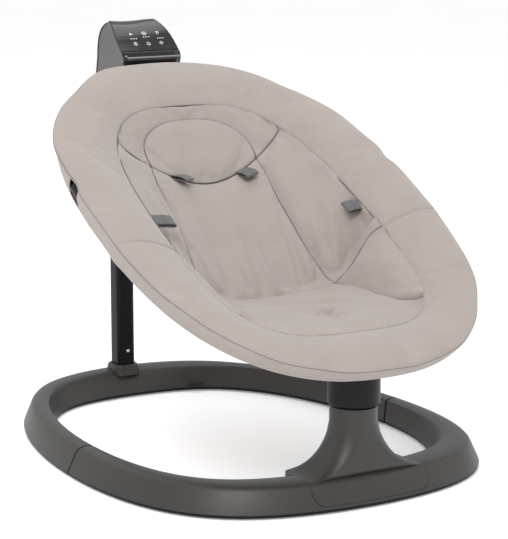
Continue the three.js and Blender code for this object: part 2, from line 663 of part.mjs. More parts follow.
function buildPod() {
  const shaftOut = solid(cylinder(HUB_RADIUS + 2, onAxis(distanceAtY(200)), alongAxis, 55, 32));
  const core = podSlice(insetOutline(SKIN), insetOutline(SKIN + 3)).intersect(podWaist(PLATE_THICKNESS + GAP));
  const spigot = extrude(roundedRectangle(COLUMN_WIDTH - 8, COLUMN_DEPTH - 8, 4), 28)
    .translate(0, COLUMN_Y, COLUMN_TOP - 16);
  const floor = box(28, 34, 5, 0, COLUMN_Y, COLUMN_TOP + 10);
  part('pod_core', toGeometry(core.add(solid(floor)).add(solid(spigot)).subtract(shaftOut)), 'black', 0.35);
  const plates = podSlice(insetOutline(SKIN)).intersect(podWaist(0.6)).subtract(podWaist(PLATE_THICKNESS));
  for (const [side, x] of [['left', -50], ['right', 50]]) {
    const half = solid(box(100, 300, 300, x, COLUMN_Y, 450));
    part(`pod_shell_${side}`, toGeometry(plates.intersect(half)), 'plate', 0.6);
  }

  const nearest = (y, z) => podOutline.reduce((best, p, i) => (
    p.distanceTo(new THREE.Vector2(y, z)) < podOutline[best].distanceTo(new THREE.Vector2(y, z)) ? i : best), 0);
  const crown = nearest(281, 549);
  const chin = nearest(219, 511.5);
  const under = nearest(219, 499);
  part('touch_panel', podSkin(crown + 1, chin - 1), 'gloss', 0.15);
  part('chin_strip', podSkin(chin, under - 1), 'strip', 0.2);
  const rearLow = nearest(338, 408);
  part('pod_back_cover', podSkin(rearLow, crown), 'black', 0.3);
}

// ---------- Drive inside the pod ----------

const GEAR_TEETH = 39;
const PINION_TEETH = 12;
const MODULE = 1.3;
const GEAR_RADIUS = GEAR_TEETH * MODULE / 2;
const PINION_RADIUS = PINION_TEETH * MODULE / 2;
const CENTRE_DISTANCE = GEAR_RADIUS + PINION_RADIUS + 0.25;

// Straight-sided gear outline; the first tooth or gap is centred on angle zero.
function gearShape(teeth, radius, toothFirst, fromTooth = 0, count = teeth) {
  const pitch = TURN / teeth;
  const [root, tip] = [radius - MODULE * 1.2, radius + MODULE * 0.85];
  const start = toothFirst ? 0 : 0.5;
  const points = [];
  for (let i = fromTooth; i < fromTooth + count; i++) {
    const middle = (i + start) * pitch;
    for (const [offset, r] of [[-0.27, root], [-0.1, tip], [0.1, tip], [0.27, root]]) {
      const angle = middle + offset * pitch;
      points.push(new THREE.Vector2(r * Math.cos(angle), r * Math.sin(angle)));
    }
  }
  return points;
}

// Places a shape drawn in a plane square to the swing axis; the drawing's +X is up off the axis.
function onDrive(geometry, distance, height) {
  const frame = new THREE.Matrix4().makeBasis(offAxis, new THREE.Vector3(1, 0, 0), alongAxis);
  const origin = onAxis(distance, height);
  frame.setPosition(origin);
  return geometry.applyMatrix4(frame);
}

function buildDrive() {
  const gearAt = distanceAtY(257);
  const frontBlock = distanceAtY(246);
  const rearBlock = distanceAtY(272);
  const gearWidth = 8;
  const shaftStart = distanceAtY(199) + 1;
  const shaftEnd = distanceAtY(283);
  part('drive_shaft', cylinder(SHAFT_RADIUS, onAxis(shaftStart), alongAxis, shaftEnd - shaftStart), 'steel', 0.3, 0.9);
  part('front_bearing', toGeometry(axisRing(11, SHAFT_RADIUS + 0.35, frontBlock, 9)), 'steel', 0.35, 0.9);
  part('rear_bearing', toGeometry(axisRing(11, SHAFT_RADIUS + 0.35, rearBlock, 9)), 'steel', 0.35, 0.9);

  const sector = gearShape(GEAR_TEETH, GEAR_RADIUS, true, -4, 9);
  const hub = new THREE.Shape([...sector, new THREE.Vector2(0, 10), new THREE.Vector2(-8, 7),
    new THREE.Vector2(-10, 0), new THREE.Vector2(-8, -7), new THREE.Vector2(0, -10)]);
  const sectorBody = solid(onDrive(extrude(hub, gearWidth), gearAt, 0));
  const hole = solid(cylinder(SHAFT_RADIUS + 0.3, onAxis(gearAt - 1), alongAxis, gearWidth + 2));
  part('sector_gear', toGeometry(sectorBody.subtract(hole)), 'webbing', 0.5);

  const pinion = gearShape(PINION_TEETH, PINION_RADIUS, false);
  const pinionBody = extrude(new THREE.Shape(pinion), gearWidth);
  pinionBody.rotateZ(180 * DEG);
  const motorShaft = solid(cylinder(2.5, onAxis(gearAt + gearWidth - 0.5, CENTRE_DISTANCE), alongAxis, 5, 16));
  const pinionSolid = solid(onDrive(pinionBody, gearAt, CENTRE_DISTANCE)).add(motorShaft);
  part('drive_pinion', toGeometry(pinionSolid), 'brass', 0.4, 0.7);

  // Bracket: bearing blocks under the shaft and a plate that carries the motor.
  const plateAt = gearAt + gearWidth + 2.5;
  const strip = (width, from, to, low, high) => solid(onDrive(
    new THREE.BoxGeometry(high - low, width, to - from), (from + to) / 2, (low + high) / 2));
  const bracket = strip(30, plateAt, plateAt + 3, -15.5, CENTRE_DISTANCE + 10)
    .add(strip(26, frontBlock, frontBlock + 9, -15.5, 14))
    .add(strip(26, rearBlock, rearBlock + 9, -15.5, 14))
    .add(strip(26, frontBlock, rearBlock + 9, -15.5, -12.4))
    .subtract(solid(cylinder(11.3, onAxis(frontBlock - 1), alongAxis, 11, 32)))
    .subtract(solid(cylinder(11.3, onAxis(rearBlock - 1), alongAxis, 11, 32)))
    .subtract(solid(cylinder(SHAFT_RADIUS + 1, onAxis(frontBlock - 5), alongAxis, 80, 32)))
    .subtract(solid(cylinder(3.5, onAxis(plateAt - 1, CENTRE_DISTANCE), alongAxis, 6, 16)));
  part('gearbox_bracket', toGeometry(bracket), 'steel', 0.4, 0.8);
  part('motor', cylinder(13, onAxis(plateAt + 3.3 + 2, CENTRE_DISTANCE), alongAxis, 26, 28), 'steel', 0.35, 0.9);
  part('circuit_board', box(58, 1.6, 34, 0, 0, 0).rotateX(-46 * DEG).translate(0, 254, 529), 'board', 0.6);
  const speakerFace = new THREE.Vector3(0, 1, 0);
  part('speaker', cylinder(11, new THREE.Vector3(0, 292, 438), speakerFace, 14, 24, 14), 'rubber', 0.6);
}

buildBase();
buildColumn();
buildLowerPivot();
buildSeatFrame();
buildRimCover();
buildLiner();
buildHeadPad();
buildStraps();
buildPod();
buildDrive();

export default swing;
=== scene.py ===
"""Baby swing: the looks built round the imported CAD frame.

Metres, with +Z up and +Y from the foot end to the head end.
"""
import json
import math

import bmesh
import bpy
import numpy as np
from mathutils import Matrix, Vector, geometry, noise
from mathutils.bvhtree import BVHTree


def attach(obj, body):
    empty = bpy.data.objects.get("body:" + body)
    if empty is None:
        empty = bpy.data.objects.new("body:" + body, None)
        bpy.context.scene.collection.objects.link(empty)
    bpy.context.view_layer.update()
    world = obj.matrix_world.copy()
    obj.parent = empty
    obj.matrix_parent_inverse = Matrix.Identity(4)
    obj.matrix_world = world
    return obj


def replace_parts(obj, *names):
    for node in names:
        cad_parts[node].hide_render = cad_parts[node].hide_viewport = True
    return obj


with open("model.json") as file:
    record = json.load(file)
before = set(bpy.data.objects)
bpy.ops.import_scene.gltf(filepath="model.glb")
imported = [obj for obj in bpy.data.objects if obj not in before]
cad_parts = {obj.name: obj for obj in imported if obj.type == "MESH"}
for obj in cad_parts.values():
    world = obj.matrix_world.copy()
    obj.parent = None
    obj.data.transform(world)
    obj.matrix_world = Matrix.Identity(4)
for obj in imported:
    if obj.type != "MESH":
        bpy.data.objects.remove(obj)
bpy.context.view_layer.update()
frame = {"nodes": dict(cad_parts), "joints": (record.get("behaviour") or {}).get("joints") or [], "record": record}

MM = 0.001
PIVOT = Vector(next(j for j in frame["joints"] if j["name"] == "seat_swing")["pos_m"])
# The middle of the floor ring, on the floor: the base's own places are measured from it.
BASE_MIDDLE = PIVOT + Vector((0, 0.297, -0.148))

# The seat's own directions: across (+X), towards the head, and square to the rim's plane.
SEAT_CENTRE = BASE_MIDDLE + Vector((0, -0.0933, 0.3401))
SEAT_TILT = math.radians(28.3)
TOWARDS_HEAD = np.array([0, math.cos(SEAT_TILT), math.sin(SEAT_TILT)])
OFF_SEAT = np.array([0, -math.sin(SEAT_TILT), math.cos(SEAT_TILT)])


# ---------- Materials ----------

class Nodes:
    """A material's node tree with short calls for the nodes that most materials use."""

    def __init__(self, name):
        self.material = bpy.data.materials.new(name)
        self.material.use_nodes = True
        self.tree = self.material.node_tree
        self.shader = self.tree.nodes["Principled BSDF"]
        self.place = self.add("ShaderNodeTexCoord").outputs["Object"]

    def add(self, kind, **values):
        node = self.tree.nodes.new(kind)
        for key, value in values.items():
            setattr(node, key, value)
        return node

    def link(self, source, target):
        self.tree.links.new(source, target)

    def noise(self, scale, detail=4, roughness=0.6, vector=None):
        node = self.add("ShaderNodeTexNoise")
        node.inputs["Scale"].default_value = scale
        node.inputs["Detail"].default_value = detail
        node.inputs["Roughness"].default_value = roughness
        self.link(vector or self.place, node.inputs["Vector"])
        return node.outputs["Fac"]

    def stretched(self, scale):
        node = self.add("ShaderNodeMapping")
        node.inputs["Scale"].default_value = scale
        self.link(self.place, node.inputs["Vector"])
        return node.outputs["Vector"]

    def ramp(self, value, *stops):
        node = self.add("ShaderNodeValToRGB")
        while len(node.color_ramp.elements) < len(stops):
            node.color_ramp.elements.new(0.5)
        for element, (position, colour) in zip(node.color_ramp.elements, stops):
            element.position = position
            element.color = (*colour, 1) if len(colour) == 3 else colour
        self.link(value, node.inputs["Fac"])
        return node.outputs["Color"]

    def math(self, operation, a, b=0.0):
        node = self.add("ShaderNodeMath", operation=operation)
        for socket, value in zip(node.inputs, (a, b)):
            if isinstance(value, (int, float)):
                socket.default_value = value
            else:
                self.link(value, socket)
        return node.outputs["Value"]

    def bump(self, height, distance, strength=1.0, before=None):
        node = self.add("ShaderNodeBump")
        node.inputs["Distance"].default_value = distance
        node.inputs["Strength"].default_value = strength
        self.link(height, node.inputs["Height"])
        if before:
            self.link(before, node.inputs["Normal"])
        return node.outputs["Normal"]

    def finish(self, **inputs):
        for name, value in inputs.items():
            socket = self.shader.inputs[name.replace("_", " ")]
            if isinstance(value, bpy.types.NodeSocket):
                self.link(value, socket)
            else:
                socket.default_value = value
        return self.material


def shade(colour, factor):
    return tuple(channel * factor for channel in colour)


def fabric_material(name, colour, weave=2600):
    """Brushed woven cover: a fine weave, a soft mottle and a slight sheen."""
    n = Nodes(name)
    wave_a = n.add("ShaderNodeTexWave", wave_type="BANDS", bands_direction="X")
    wave_b = n.add("ShaderNodeTexWave", wave_type="BANDS", bands_direction="Y")
    for wave in (wave_a, wave_b):
        wave.inputs["Scale"].default_value = weave / 6.283
        wave.inputs["Distortion"].default_value = 1.2
        n.link(n.place, wave.inputs["Vector"])
    weave_height = n.math("MULTIPLY", wave_a.outputs["Fac"], wave_b.outputs["Fac"])
    mottle = n.noise(22, 5, 0.55)
    fibre = n.noise(1900, 3, 0.7)
    mixed = n.math("ADD", n.math("MULTIPLY", mottle, 0.75), n.math("MULTIPLY", fibre, 0.25))
    tint = n.ramp(mixed, (0.25, shade(colour, 0.93)), (0.75, shade(colour, 1.05)))
    coarse = n.bump(n.noise(60, 4, 0.5), 0.0012, 0.25)
    fine = n.bump(weave_height, 0.00025, 0.35, coarse)
    fuzz = n.bump(fibre, 0.0002, 0.3, fine)
    return n.finish(Base_Color=tint, Roughness=0.92, Normal=fuzz, Sheen_Weight=0.25, Sheen_Roughness=0.5,
                    Specular_IOR_Level=0.2)


def grained_plastic(name, colour, roughness=0.5, grain=900, depth=0.0002, gloss=0.3):
    """Moulded plastic with a leather-like speckle."""
    n = Nodes(name)
    cells = n.add("ShaderNodeTexVoronoi", feature="F1")
    cells.inputs["Scale"].default_value = grain
    n.link(n.place, cells.inputs["Vector"])
    speckle = n.noise(grain * 1.6, 3, 0.7)
    cloud = n.noise(9, 3, 0.5)
    mixed = n.math("ADD", n.math("MULTIPLY", speckle, 0.6), n.math("MULTIPLY", cloud, 0.4))
    tint = n.ramp(mixed, (0.3, shade(colour, 0.86)), (0.7, shade(colour, 1.12)))
    rough = n.math("ADD", n.math("MULTIPLY", speckle, 0.16), roughness - 0.08)
    normal = n.bump(cells.outputs["Distance"], depth, 0.5)
    return n.finish(Base_Color=tint, Roughness=rough, Normal=normal, Specular_IOR_Level=gloss)


def smooth_plastic(name, colour, roughness=0.3):
    """Smooth moulded plastic with faint handling marks in its gloss."""
    n = Nodes(name)
    marks = n.noise(35, 6, 0.7)
    tint = n.ramp(n.noise(300, 2), (0.3, shade(colour, 0.92)), (0.7, shade(colour, 1.08)))
    rough = n.math("ADD", n.math("MULTIPLY", marks, 0.12), roughness - 0.05)
    normal = n.bump(n.noise(700, 2), 0.00004, 0.3)
    return n.finish(Base_Color=tint, Roughness=rough, Normal=normal)


def metal(name, colour, roughness=0.3, metallic=1.0):
    """Brushed metal with a faint grain along one direction."""
    n = Nodes(name)
    brushed = n.noise(160, 4, 0.6, n.stretched((1, 1, 14)))
    tint = n.ramp(brushed, (0.3, shade(colour, 0.88)), (0.7, shade(colour, 1.1)))
    rough = n.math("ADD", n.math("MULTIPLY", brushed, 0.15), roughness - 0.06)
    normal = n.bump(brushed, 0.00005, 0.3)
    return n.finish(Base_Color=tint, Roughness=rough, Metallic=metallic, Normal=normal)


def webbing_material(name, colour):
    """Narrow woven strap: diagonal ribs and a mottled yarn."""
    n = Nodes(name)
    ribs = n.add("ShaderNodeTexWave", wave_type="BANDS", bands_direction="DIAGONAL")
    ribs.inputs["Scale"].default_value = 330
    ribs.inputs["Distortion"].default_value = 1.5
    n.link(n.place, ribs.inputs["Vector"])
    yarn = n.noise(1400, 3, 0.7)
    mixed = n.math("ADD", n.math("MULTIPLY", ribs.outputs["Fac"], 0.5), n.math("MULTIPLY", yarn, 0.5))
    tint = n.ramp(mixed, (0.2, shade(colour, 0.7)), (0.8, shade(colour, 1.25)))
    return n.finish(Base_Color=tint, Roughness=0.85, Normal=n.bump(mixed, 0.0004, 0.7), Sheen_Weight=0.15)


TAUPE = (0.34, 0.297, 0.272)
materials = {
    "fabric": fabric_material("cover_fabric", TAUPE),
    "thread": fabric_material("stitch_thread", shade(TAUPE, 0.9), 4000),
    # Painted shade for the dark lines down in the seams; the harness webbing's own dark stitches share this
    # colour.
    "seam": fabric_material("seam_shade_and_dark_stitch", shade(TAUPE, 0.26), 3000),
    # Painted shade in the crease of the band's outer seam.
    "edge_seam_shade": fabric_material("edge_seam_shade", shade(TAUPE, 0.5), 3000),
    "ring": grained_plastic("ring_plastic", (0.038, 0.0352, 0.032), 0.42, gloss=0.42),
    "socket": grained_plastic("socket_plastic", (0.022, 0.022, 0.022), 0.5, gloss=0.2),
    "black": grained_plastic("black_plastic", (0.0075, 0.0075, 0.0078), 0.42, 1300, 0.0001, 0.18),
    "tube": grained_plastic("powder_coat", (0.0045, 0.0045, 0.0047), 0.36, 1700, 0.00008, 0.13),
    "plate": grained_plastic("plate_plastic", (0.13, 0.127, 0.123), 0.5, 1500, 0.0001),
    "gloss": smooth_plastic("gloss_panel", (0.006, 0.006, 0.0065), 0.1),
    # Pale grey for the chin's strip: partly a trim's own colour, partly a painted highlight on the rounded edge.
    "strip": smooth_plastic("chin_strip", (0.2, 0.2, 0.2), 0.22),
    "print": smooth_plastic("panel_print", (0.75, 0.75, 0.75), 0.5),
    "webbing": webbing_material("webbing_yarn", (0.105, 0.11, 0.104)),
    "steel": metal("bright_steel", (0.62, 0.62, 0.61), 0.28),
    "bronze": metal("sintered_bronze", (0.5, 0.34, 0.13), 0.4),
    "gear": grained_plastic("gear_plastic", (0.6, 0.6, 0.56), 0.5),
    "rubber": grained_plastic("foot_rubber", (0.015, 0.015, 0.015), 0.8),
    "board": grained_plastic("board_laminate", (0.02, 0.1, 0.045), 0.45),
}

SLOT_MATERIALS = {
    "fabric": "fabric", "ring_plastic": "ring", "black_plastic": "black", "black_tube": "tube",
    "socket_plastic": "socket", "gloss_panel": "gloss", "plate_plastic": "plate", "chin_strip": "strip",
    "webbing": "webbing", "steel": "steel", "bronze": "bronze", "gear_plastic": "gear", "rubber": "rubber",
    "board": "board",
}


def paint(piece, key):
    piece.data.materials.clear()
    piece.data.materials.append(materials[key])
    return piece


def paint_cad_nodes():
    for entry in frame["record"]["subparts"]:
        node = frame["nodes"][entry["node"]]
        for slot in node.material_slots:
            slot.material = materials[SLOT_MATERIALS[entry["material_slot"]]]


# ---------- Mesh helpers ----------

def make_piece(name, points, faces, key, body, smooth=True):
    mesh = bpy.data.meshes.new(name)
    mesh.from_pydata([tuple(p) for p in points], [], [tuple(f) for f in faces])
    mesh.validate()
    piece = bpy.data.objects.new(name, mesh)
    bpy.context.scene.collection.objects.link(piece)
    mesh.polygons.foreach_set("use_smooth", [smooth] * len(mesh.polygons))
    paint(piece, key)
    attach(piece, body)
    return piece


def apply_modifiers(piece):
    depsgraph = bpy.context.evaluated_depsgraph_get()
    mesh = bpy.data.meshes.new_from_object(piece.evaluated_get(depsgraph))
    old = piece.data
    piece.modifiers.clear()
    piece.data = mesh
    bpy.data.meshes.remove(old)


def thicken(piece, thickness, offset):
    """Gives an open sheet its thickness, in millimetres: offset -1 puts it all behind the faces."""
    modifier = piece.modifiers.new("thickness", "SOLIDIFY")
    modifier.thickness = thickness * MM
    modifier.offset = offset
    apply_modifiers(piece)


def soften(piece):
    """One level of subdivision."""
    modifier = piece.modifiers.new("soft", "SUBSURF")
    modifier.levels = modifier.render_levels = 1
    apply_modifiers(piece)


def grid_faces(rows, columns):
    """Faces of an open grid whose points are listed row by row."""
    return [(r * columns + c, r * columns + c + 1, (r + 1) * columns + c + 1, (r + 1) * columns + c)
            for r in range(rows - 1) for c in range(columns - 1)]


BODY_OF = {node: body for body, nodes in frame["record"]["behaviour"]["bodies"].items() for node in nodes}
SLOT_OF = {entry["node"]: entry["material_slot"] for entry in frame["record"]["subparts"]}


def cut_in_slices(work, axis, count):
    """Cuts a mesh into even slices along one axis, so that it can bend."""
    along = [v.co[axis] for v in work.verts]
    normal = Vector([float(i == axis) for i in range(3)])
    for place in np.linspace(min(along), max(along), count + 1)[1:-1]:
        everything = work.verts[:] + work.edges[:] + work.faces[:]
        bmesh.ops.bisect_plane(work, geom=everything, plane_co=normal * place, plane_no=normal)


def refined_copy(node, key=None, sharp=32, bevel=0.0, reshape=None):
    """A CAD node's own shape, shaded smooth between its real edges, which are slightly rounded."""
    source = frame["nodes"][node]
    piece = bpy.data.objects.new(f"{node}_finish", source.data.copy())
    piece.matrix_world = source.matrix_world
    bpy.context.scene.collection.objects.link(piece)
    work = bmesh.new()
    work.from_mesh(piece.data)
    bmesh.ops.remove_doubles(work, verts=work.verts, dist=2e-5)
    bmesh.ops.dissolve_limit(work, angle_limit=math.radians(0.5), verts=work.verts, edges=work.edges)
    if reshape:
        cut_in_slices(work, 0, 12)
        cut_in_slices(work, 2, 16)
        for vert in work.verts:
            vert.co = reshape(vert.co)
    for face in work.faces:
        face.smooth = True
    for edge in work.edges:
        edge.smooth = len(edge.link_faces) == 2 and edge.calc_face_angle(0) < math.radians(sharp)
    work.to_mesh(piece.data)
    work.free()
    if bevel:
        modifier = piece.modifiers.new("edge", "BEVEL")
        modifier.width = bevel * MM
        modifier.segments = 2
        modifier.limit_method = "ANGLE"
        modifier.angle_limit = math.radians(sharp)
        modifier.use_clamp_overlap = True
        modifier.harden_normals = True
        apply_modifiers(piece)
    paint(piece, key or SLOT_MATERIALS[SLOT_OF[node]])
    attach(piece, BODY_OF[node])
    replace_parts(piece, node)
    return piece


# ---------- Base ring and column ----------

# A dark box of painted shade, where the ring's inner wall has a small moulded slot.
SLOT_SHADE_BOX = dict(place=(0.0945, 0.2662, 0.0125), size=(0.019, 0.004, 0.0026), turn=math.radians(-18))


def build_hard_parts():
    for node in ("front_base_ring", "rear_base_ring", "pedestal_saddle", "front_base_pan", "rear_base_pan",
                 "column", "pivot_housing"):
        refined_copy(node, bevel=0.5)
    refined_copy("column_socket", "ring", bevel=0.5)
    build_slot_shade()


def build_slot_shade():
    """A small dark box on the inner wall of the ring, near the column: painted shade standing in for a slot
    moulded into it.
    """
    place = BASE_MIDDLE + Vector(SLOT_SHADE_BOX["place"])
    bpy.ops.mesh.primitive_cube_add(size=1, location=place, rotation=(0, 0, SLOT_SHADE_BOX["turn"]))
    slot = bpy.context.object
    slot.name = "ring_slot_shade"
    slot.scale = SLOT_SHADE_BOX["size"]
    bpy.ops.object.transform_apply(location=False, rotation=False, scale=True)
    # The foot rubber's near-black colour paints the slot's shade.
    paint(slot, "rubber")
    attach(slot, "base")
    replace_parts(slot, "rear_base_ring")


# ---------- Head pod ----------

# How the pod's crown differs from the CAD: heights are in metres, the moves in millimetres.
CROWN_BASE = 0.5
CROWN_RISE = 3.8
CROWN_SAG = 2
CROWN_LEAN = 7


def ease(value, low, high):
    """A smooth step from 0 at the low value to 1 at the high one."""
    part = min(1, max(0, (value - low) / (high - low)))
    return part * part * (3 - 2 * part)


def pod_width(height):
    """How far the pod's sides swell and then round in to its crown, against its width lower down."""
    up = max(0, (height - CROWN_BASE) / 0.0536)
    return 1 + 0.042 * ease(height, 0.48, 0.522) - 0.262 * up ** 4


def round_crown(place):
    """Gives the pod a rounder and taller crown, which leans back and sags in the middle."""
    straight = 1 - 0.18 * ease(place.z, CROWN_BASE, 0.556)
    middle = max(0, 1 - ((place.x + 0.01) / 0.042) ** 2) ** 2
    sag = CROWN_SAG * middle * ease(place.z, 0.535, 0.556)
    rise = CROWN_RISE * ease(place.z, 0.505, 0.553) - sag
    back = CROWN_LEAN * ease(place.z, CROWN_BASE, 0.553)
    return Vector((place.x * pod_width(place.z) / straight, place.y + back * MM, place.z + rise * MM))


SYMBOL_THICKNESS = 0.12


def ring_outline(x, z, wide, high, gap=0, turn=90):
    """An open ring, as two rows of points, with a gap at one side."""
    angles = np.radians(np.linspace(turn + gap / 2, turn + 360 - gap / 2, 25))
    return [[(x + wide * r * math.cos(a), z + high * r * math.sin(a)) for a in angles] for r in (0.72, 1)]


def bar(x, z, wide, high):
    return [[(x - wide / 2, z - high / 2), (x + wide / 2, z - high / 2)],
            [(x - wide / 2, z + high / 2), (x + wide / 2, z + high / 2)]]


def wedge(x, z, wide, high):
    return [[(x - wide / 2, z - high / 2), (x + wide / 2, z - high / 2)],
            [(x - 0.2, z + high / 2), (x, z + high / 2)]]


def panel_symbols():
    """Plain marks in rows, in millimetres across the panel and up.

    Each mark is a strip between two rows of points.
    """
    marks = [wedge(-18.8, 539.4, 4.8, 2.6)]
    marks += [ring_outline(2.7, 539.4, 3.6, 2.1), bar(2.7, 539.4, 2.6, 0.7)]
    marks += [bar(22.8, 539.2, 0.8, 4.4), bar(24.4, 540.8, 3, 0.9), bar(25.7, 539.8, 0.8, 2.6)]
    for x, z in ((-17.4, 533), (3.4, 534.8), (24.8, 532.6)):
        marks += [bar(x + step, z, 2.1, 0.9) for step in (-4.1, 0, 4.1)]
    marks += [ring_outline(-18.2, 526.4, 2.7, 2.2), bar(-18.2, 526.4, 2.2, 0.8)]
    marks += [ring_outline(2.3, 526, 2.7, 2.2, 70), bar(2.3, 527.4, 0.8, 2.2)]
    marks += [ring_outline(23.2, 526.2, 2.7, 2.0, 110, 270), bar(23.2, 525.4, 0.8, 2.6)]
    return marks


def build_symbols(panel):
    """The marks lie on the panel's own curved surface."""
    tree = BVHTree.FromObject(panel, bpy.context.evaluated_depsgraph_get())
    strips = []
    for near, far in panel_symbols():
        points = []
        for x, z in near + far:
            before_panel = BASE_MIDDLE + Vector((x * MM, 0.1, z * MM))
            hit, normal, _, _ = tree.ray_cast(before_panel, Vector((0, 1, 0)))
            points.append(hit + normal * SYMBOL_THICKNESS * MM)
        strips.append((points, grid_faces(2, len(near))))
    points, faces = join_meshes(strips)
    piece = make_piece("panel_symbols", points, faces, "print", "base", smooth=False)
    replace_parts(piece, "touch_panel")


def build_pod():
    for node in ("pod_shell_left", "pod_shell_right", "pod_core"):
        refined_copy(node, bevel=0.4, reshape=round_crown)
    refined_copy("pod_back_cover", "gloss", bevel=0.5, reshape=round_crown)
    panel = refined_copy("touch_panel", bevel=0.5, reshape=round_crown)
    refined_copy("chin_strip", "gloss", bevel=0.5)
    build_symbols(panel)
    build_chin()


# The chin's front from under the panel down to the seat, in the base's frame.
CHIN = [(222.3, 516.5), (218.6, 512), (217.1, 508), (217.2, 503), (219.3, 496), (225.3, 478),
        (233.3, 458), (245.5, 438)]
CHIN_HALF_WIDTH = 43.9
CHIN_THICKNESS = 5
# The pale strip's middle line, in the same directions, and its radius: a grey trim whose paleness is partly a
# painted highlight along the chin's rounded edge.
TRIM_HIGHLIGHT_LINE = (217.3, 508.2)
TRIM_HIGHLIGHT_RADIUS = 1.45


def build_chin():
    """A glossy skin under the panel's lower edge, with a pale grey strip let in across it, partly trim and partly
    a painted highlight.
    """
    profile = smooth_line(CHIN, 4)
    places = np.linspace(-CHIN_HALF_WIDTH, CHIN_HALF_WIDTH, 9)
    points = [BASE_MIDDLE + MM * Vector((x * pod_width(z * MM), y, z)) for y, z in profile for x in places]
    faces = [face[::-1] for face in grid_faces(len(profile), len(places))]
    skin = make_piece("chin_skin", points, faces, "gloss", "base")
    thicken(skin, CHIN_THICKNESS, -1)
    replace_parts(skin, "chin_strip")

    across = np.linspace(4 - CHIN_HALF_WIDTH, CHIN_HALF_WIDTH, 24)
    line = [BASE_MIDDLE + MM * Vector((x, *TRIM_HIGHLIGHT_LINE)) for x in across]
    points, faces = tube_mesh(line, TRIM_HIGHLIGHT_RADIUS * MM, 12)
    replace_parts(make_piece("chin_trim_highlight", points, faces, "strip", "base"), "chin_strip")


# ---------- Seat shape ----------

RIM = dict(width=246, length=343.5, foot_length=331, power=2.4, taper=0.03)
INNER = dict(width=153, length=249.6, foot_length=249.6, power=3.2, taper=-0.03)
# How deep most seams are sewn down, and how close beside a seam the next points lie.
SINK = 3.2
EDGE_STEP = 1.4


def on_seat(across, along, above):
    """Points in the row frame, from millimetres in the seat's own directions."""
    across, along, above = np.broadcast_arrays(np.asarray(across, float), along, above)
    flat = np.stack([across, 0 * across, 0 * across], -1)
    raised = flat + along[..., None] * TOWARDS_HEAD + above[..., None] * OFF_SEAT
    return np.array(SEAT_CENTRE) + MM * raised


def oval(shape, angle):
    """Places on a squarish oval, which is a little wider towards one end by its taper."""
    c, s = np.cos(angle), np.sin(angle)
    x = np.sign(c) * np.abs(c) ** (2 / shape["power"])
    y = np.sign(s) * np.abs(s) ** (2 / shape["power"])
    length = np.where(y < 0, shape["foot_length"], shape["length"])
    return np.stack([shape["width"] * x * (1 + shape["taper"] * y), length * y], -1)


def lean(across, along):
    """How much further out the bucket's right half is sewn in than its left half."""
    return np.interp(along, (0, 200), (9.5, 5)) * np.clip(np.asarray(across) / INNER["width"], 0, 1) ** 4


def on_bucket(across, along, above):
    return on_seat(across + lean(across, along), along, above)


def half_width(along):
    """Half the width of the bucket's opening, at a place along the seat."""
    y = np.clip(along / INNER["length"], -1, 1)
    tapered = INNER["width"] * (1 + INNER["taper"] * y)
    return tapered * (1 - np.abs(y) ** INNER["power"]) ** (1 / INNER["power"])


def inner_seam_height(across):
    return -10 - 11 * (across / INNER["width"]) ** 2


def middle_depth(along):
    """Height of the bucket's middle line: legs, crease, back and head."""
    at = [-249.6, -200, -120, -53, 30, 127, 200, 249.6]
    height = [-10, -34, -80, -113, -95, -68, -45, -10]
    return sum(np.interp(along + shift, at, height) for shift in (-12, -6, 0, 6, 12)) / 5


def trough_height(across, along):
    """The bucket without its side panels: rounder under the legs, and steeper down the back."""
    up_back = np.clip((along + 60) / 120, 0, 1)
    power = 2.3 - 0.55 * up_back * up_back * (3 - 2 * up_back)
    x = np.clip(np.abs(across) / np.maximum(half_width(along), 1), 0, 1)
    edge = inner_seam_height(across)
    depth = np.minimum(middle_depth(along), edge)
    return edge + (depth - edge) * (1 - x ** power) ** (1 / power)


# The side panels by the legs span straight from the rim to their seams, and don't follow the trough.
GUSSET_INNER = ((-190, 133), (-181, 124), (-166, 115), (-144, 112), (-111, 109), (-88, 104), (-63, 97),
                (-55, 109), (-46, 119), (-34, 129), (-25, 140), (-22, 150))


def seat_height(across, along):
    across, along = np.broadcast_arrays(np.asarray(across, float), along)
    base = trough_height(across, along)
    q, p = np.array(GUSSET_INNER, float).T
    start = np.interp(along, q, p)
    end = half_width(along)
    t = np.clip((np.abs(across) - start) / np.maximum(end - start, 1), 0, 1)
    low = trough_height(start, along)
    straight = low + (inner_seam_height(end) - low) * t + 7 * np.sin(np.pi * t)
    inside = (along > q[0]) & (along < q[-1]) & (t > 0)
    return np.where(inside, np.maximum(base, straight), base)


# The cutting plane is the bucket laid out flat, so that its steep walls get as many points as its floor.
WALL_STRETCH = 1.25


def unroll(across, along):
    """From places across and along the seat to the cutting plane."""
    half = np.maximum(half_width(along), 1)
    turn = np.arcsin(np.clip(across / half, -1, 1)) / (np.pi / 2)
    return np.stack([WALL_STRETCH * half * turn, along + 0 * turn], -1)


def roll(cut):
    """From the cutting plane back to places across and along the seat."""
    half = np.maximum(half_width(cut[:, 1]), 1)
    turn = np.clip(cut[:, 0] / (WALL_STRETCH * half), -1, 1)
    return half * np.sin(turn * np.pi / 2), cut[:, 1]


# ---------- Lines ----------

def smooth_line(points, steps=12):
    """A Catmull-Rom curve through the points."""
    points = np.asarray(points, float)
    padded = np.concatenate([2 * points[:1] - points[1:2], points, 2 * points[-1:] - points[-2:-1]])
    out = []
    for a, b, c, d in zip(padded, padded[1:], padded[2:], padded[3:]):
        for t in np.arange(steps) / steps:
            out.append(0.5 * (2 * b + (c - a) * t + (2 * a - 5 * b + 4 * c - d) * t ** 2
                              + (3 * b - a - 3 * c + d) * t ** 3))
    out.append(points[-1])
    return np.array(out)


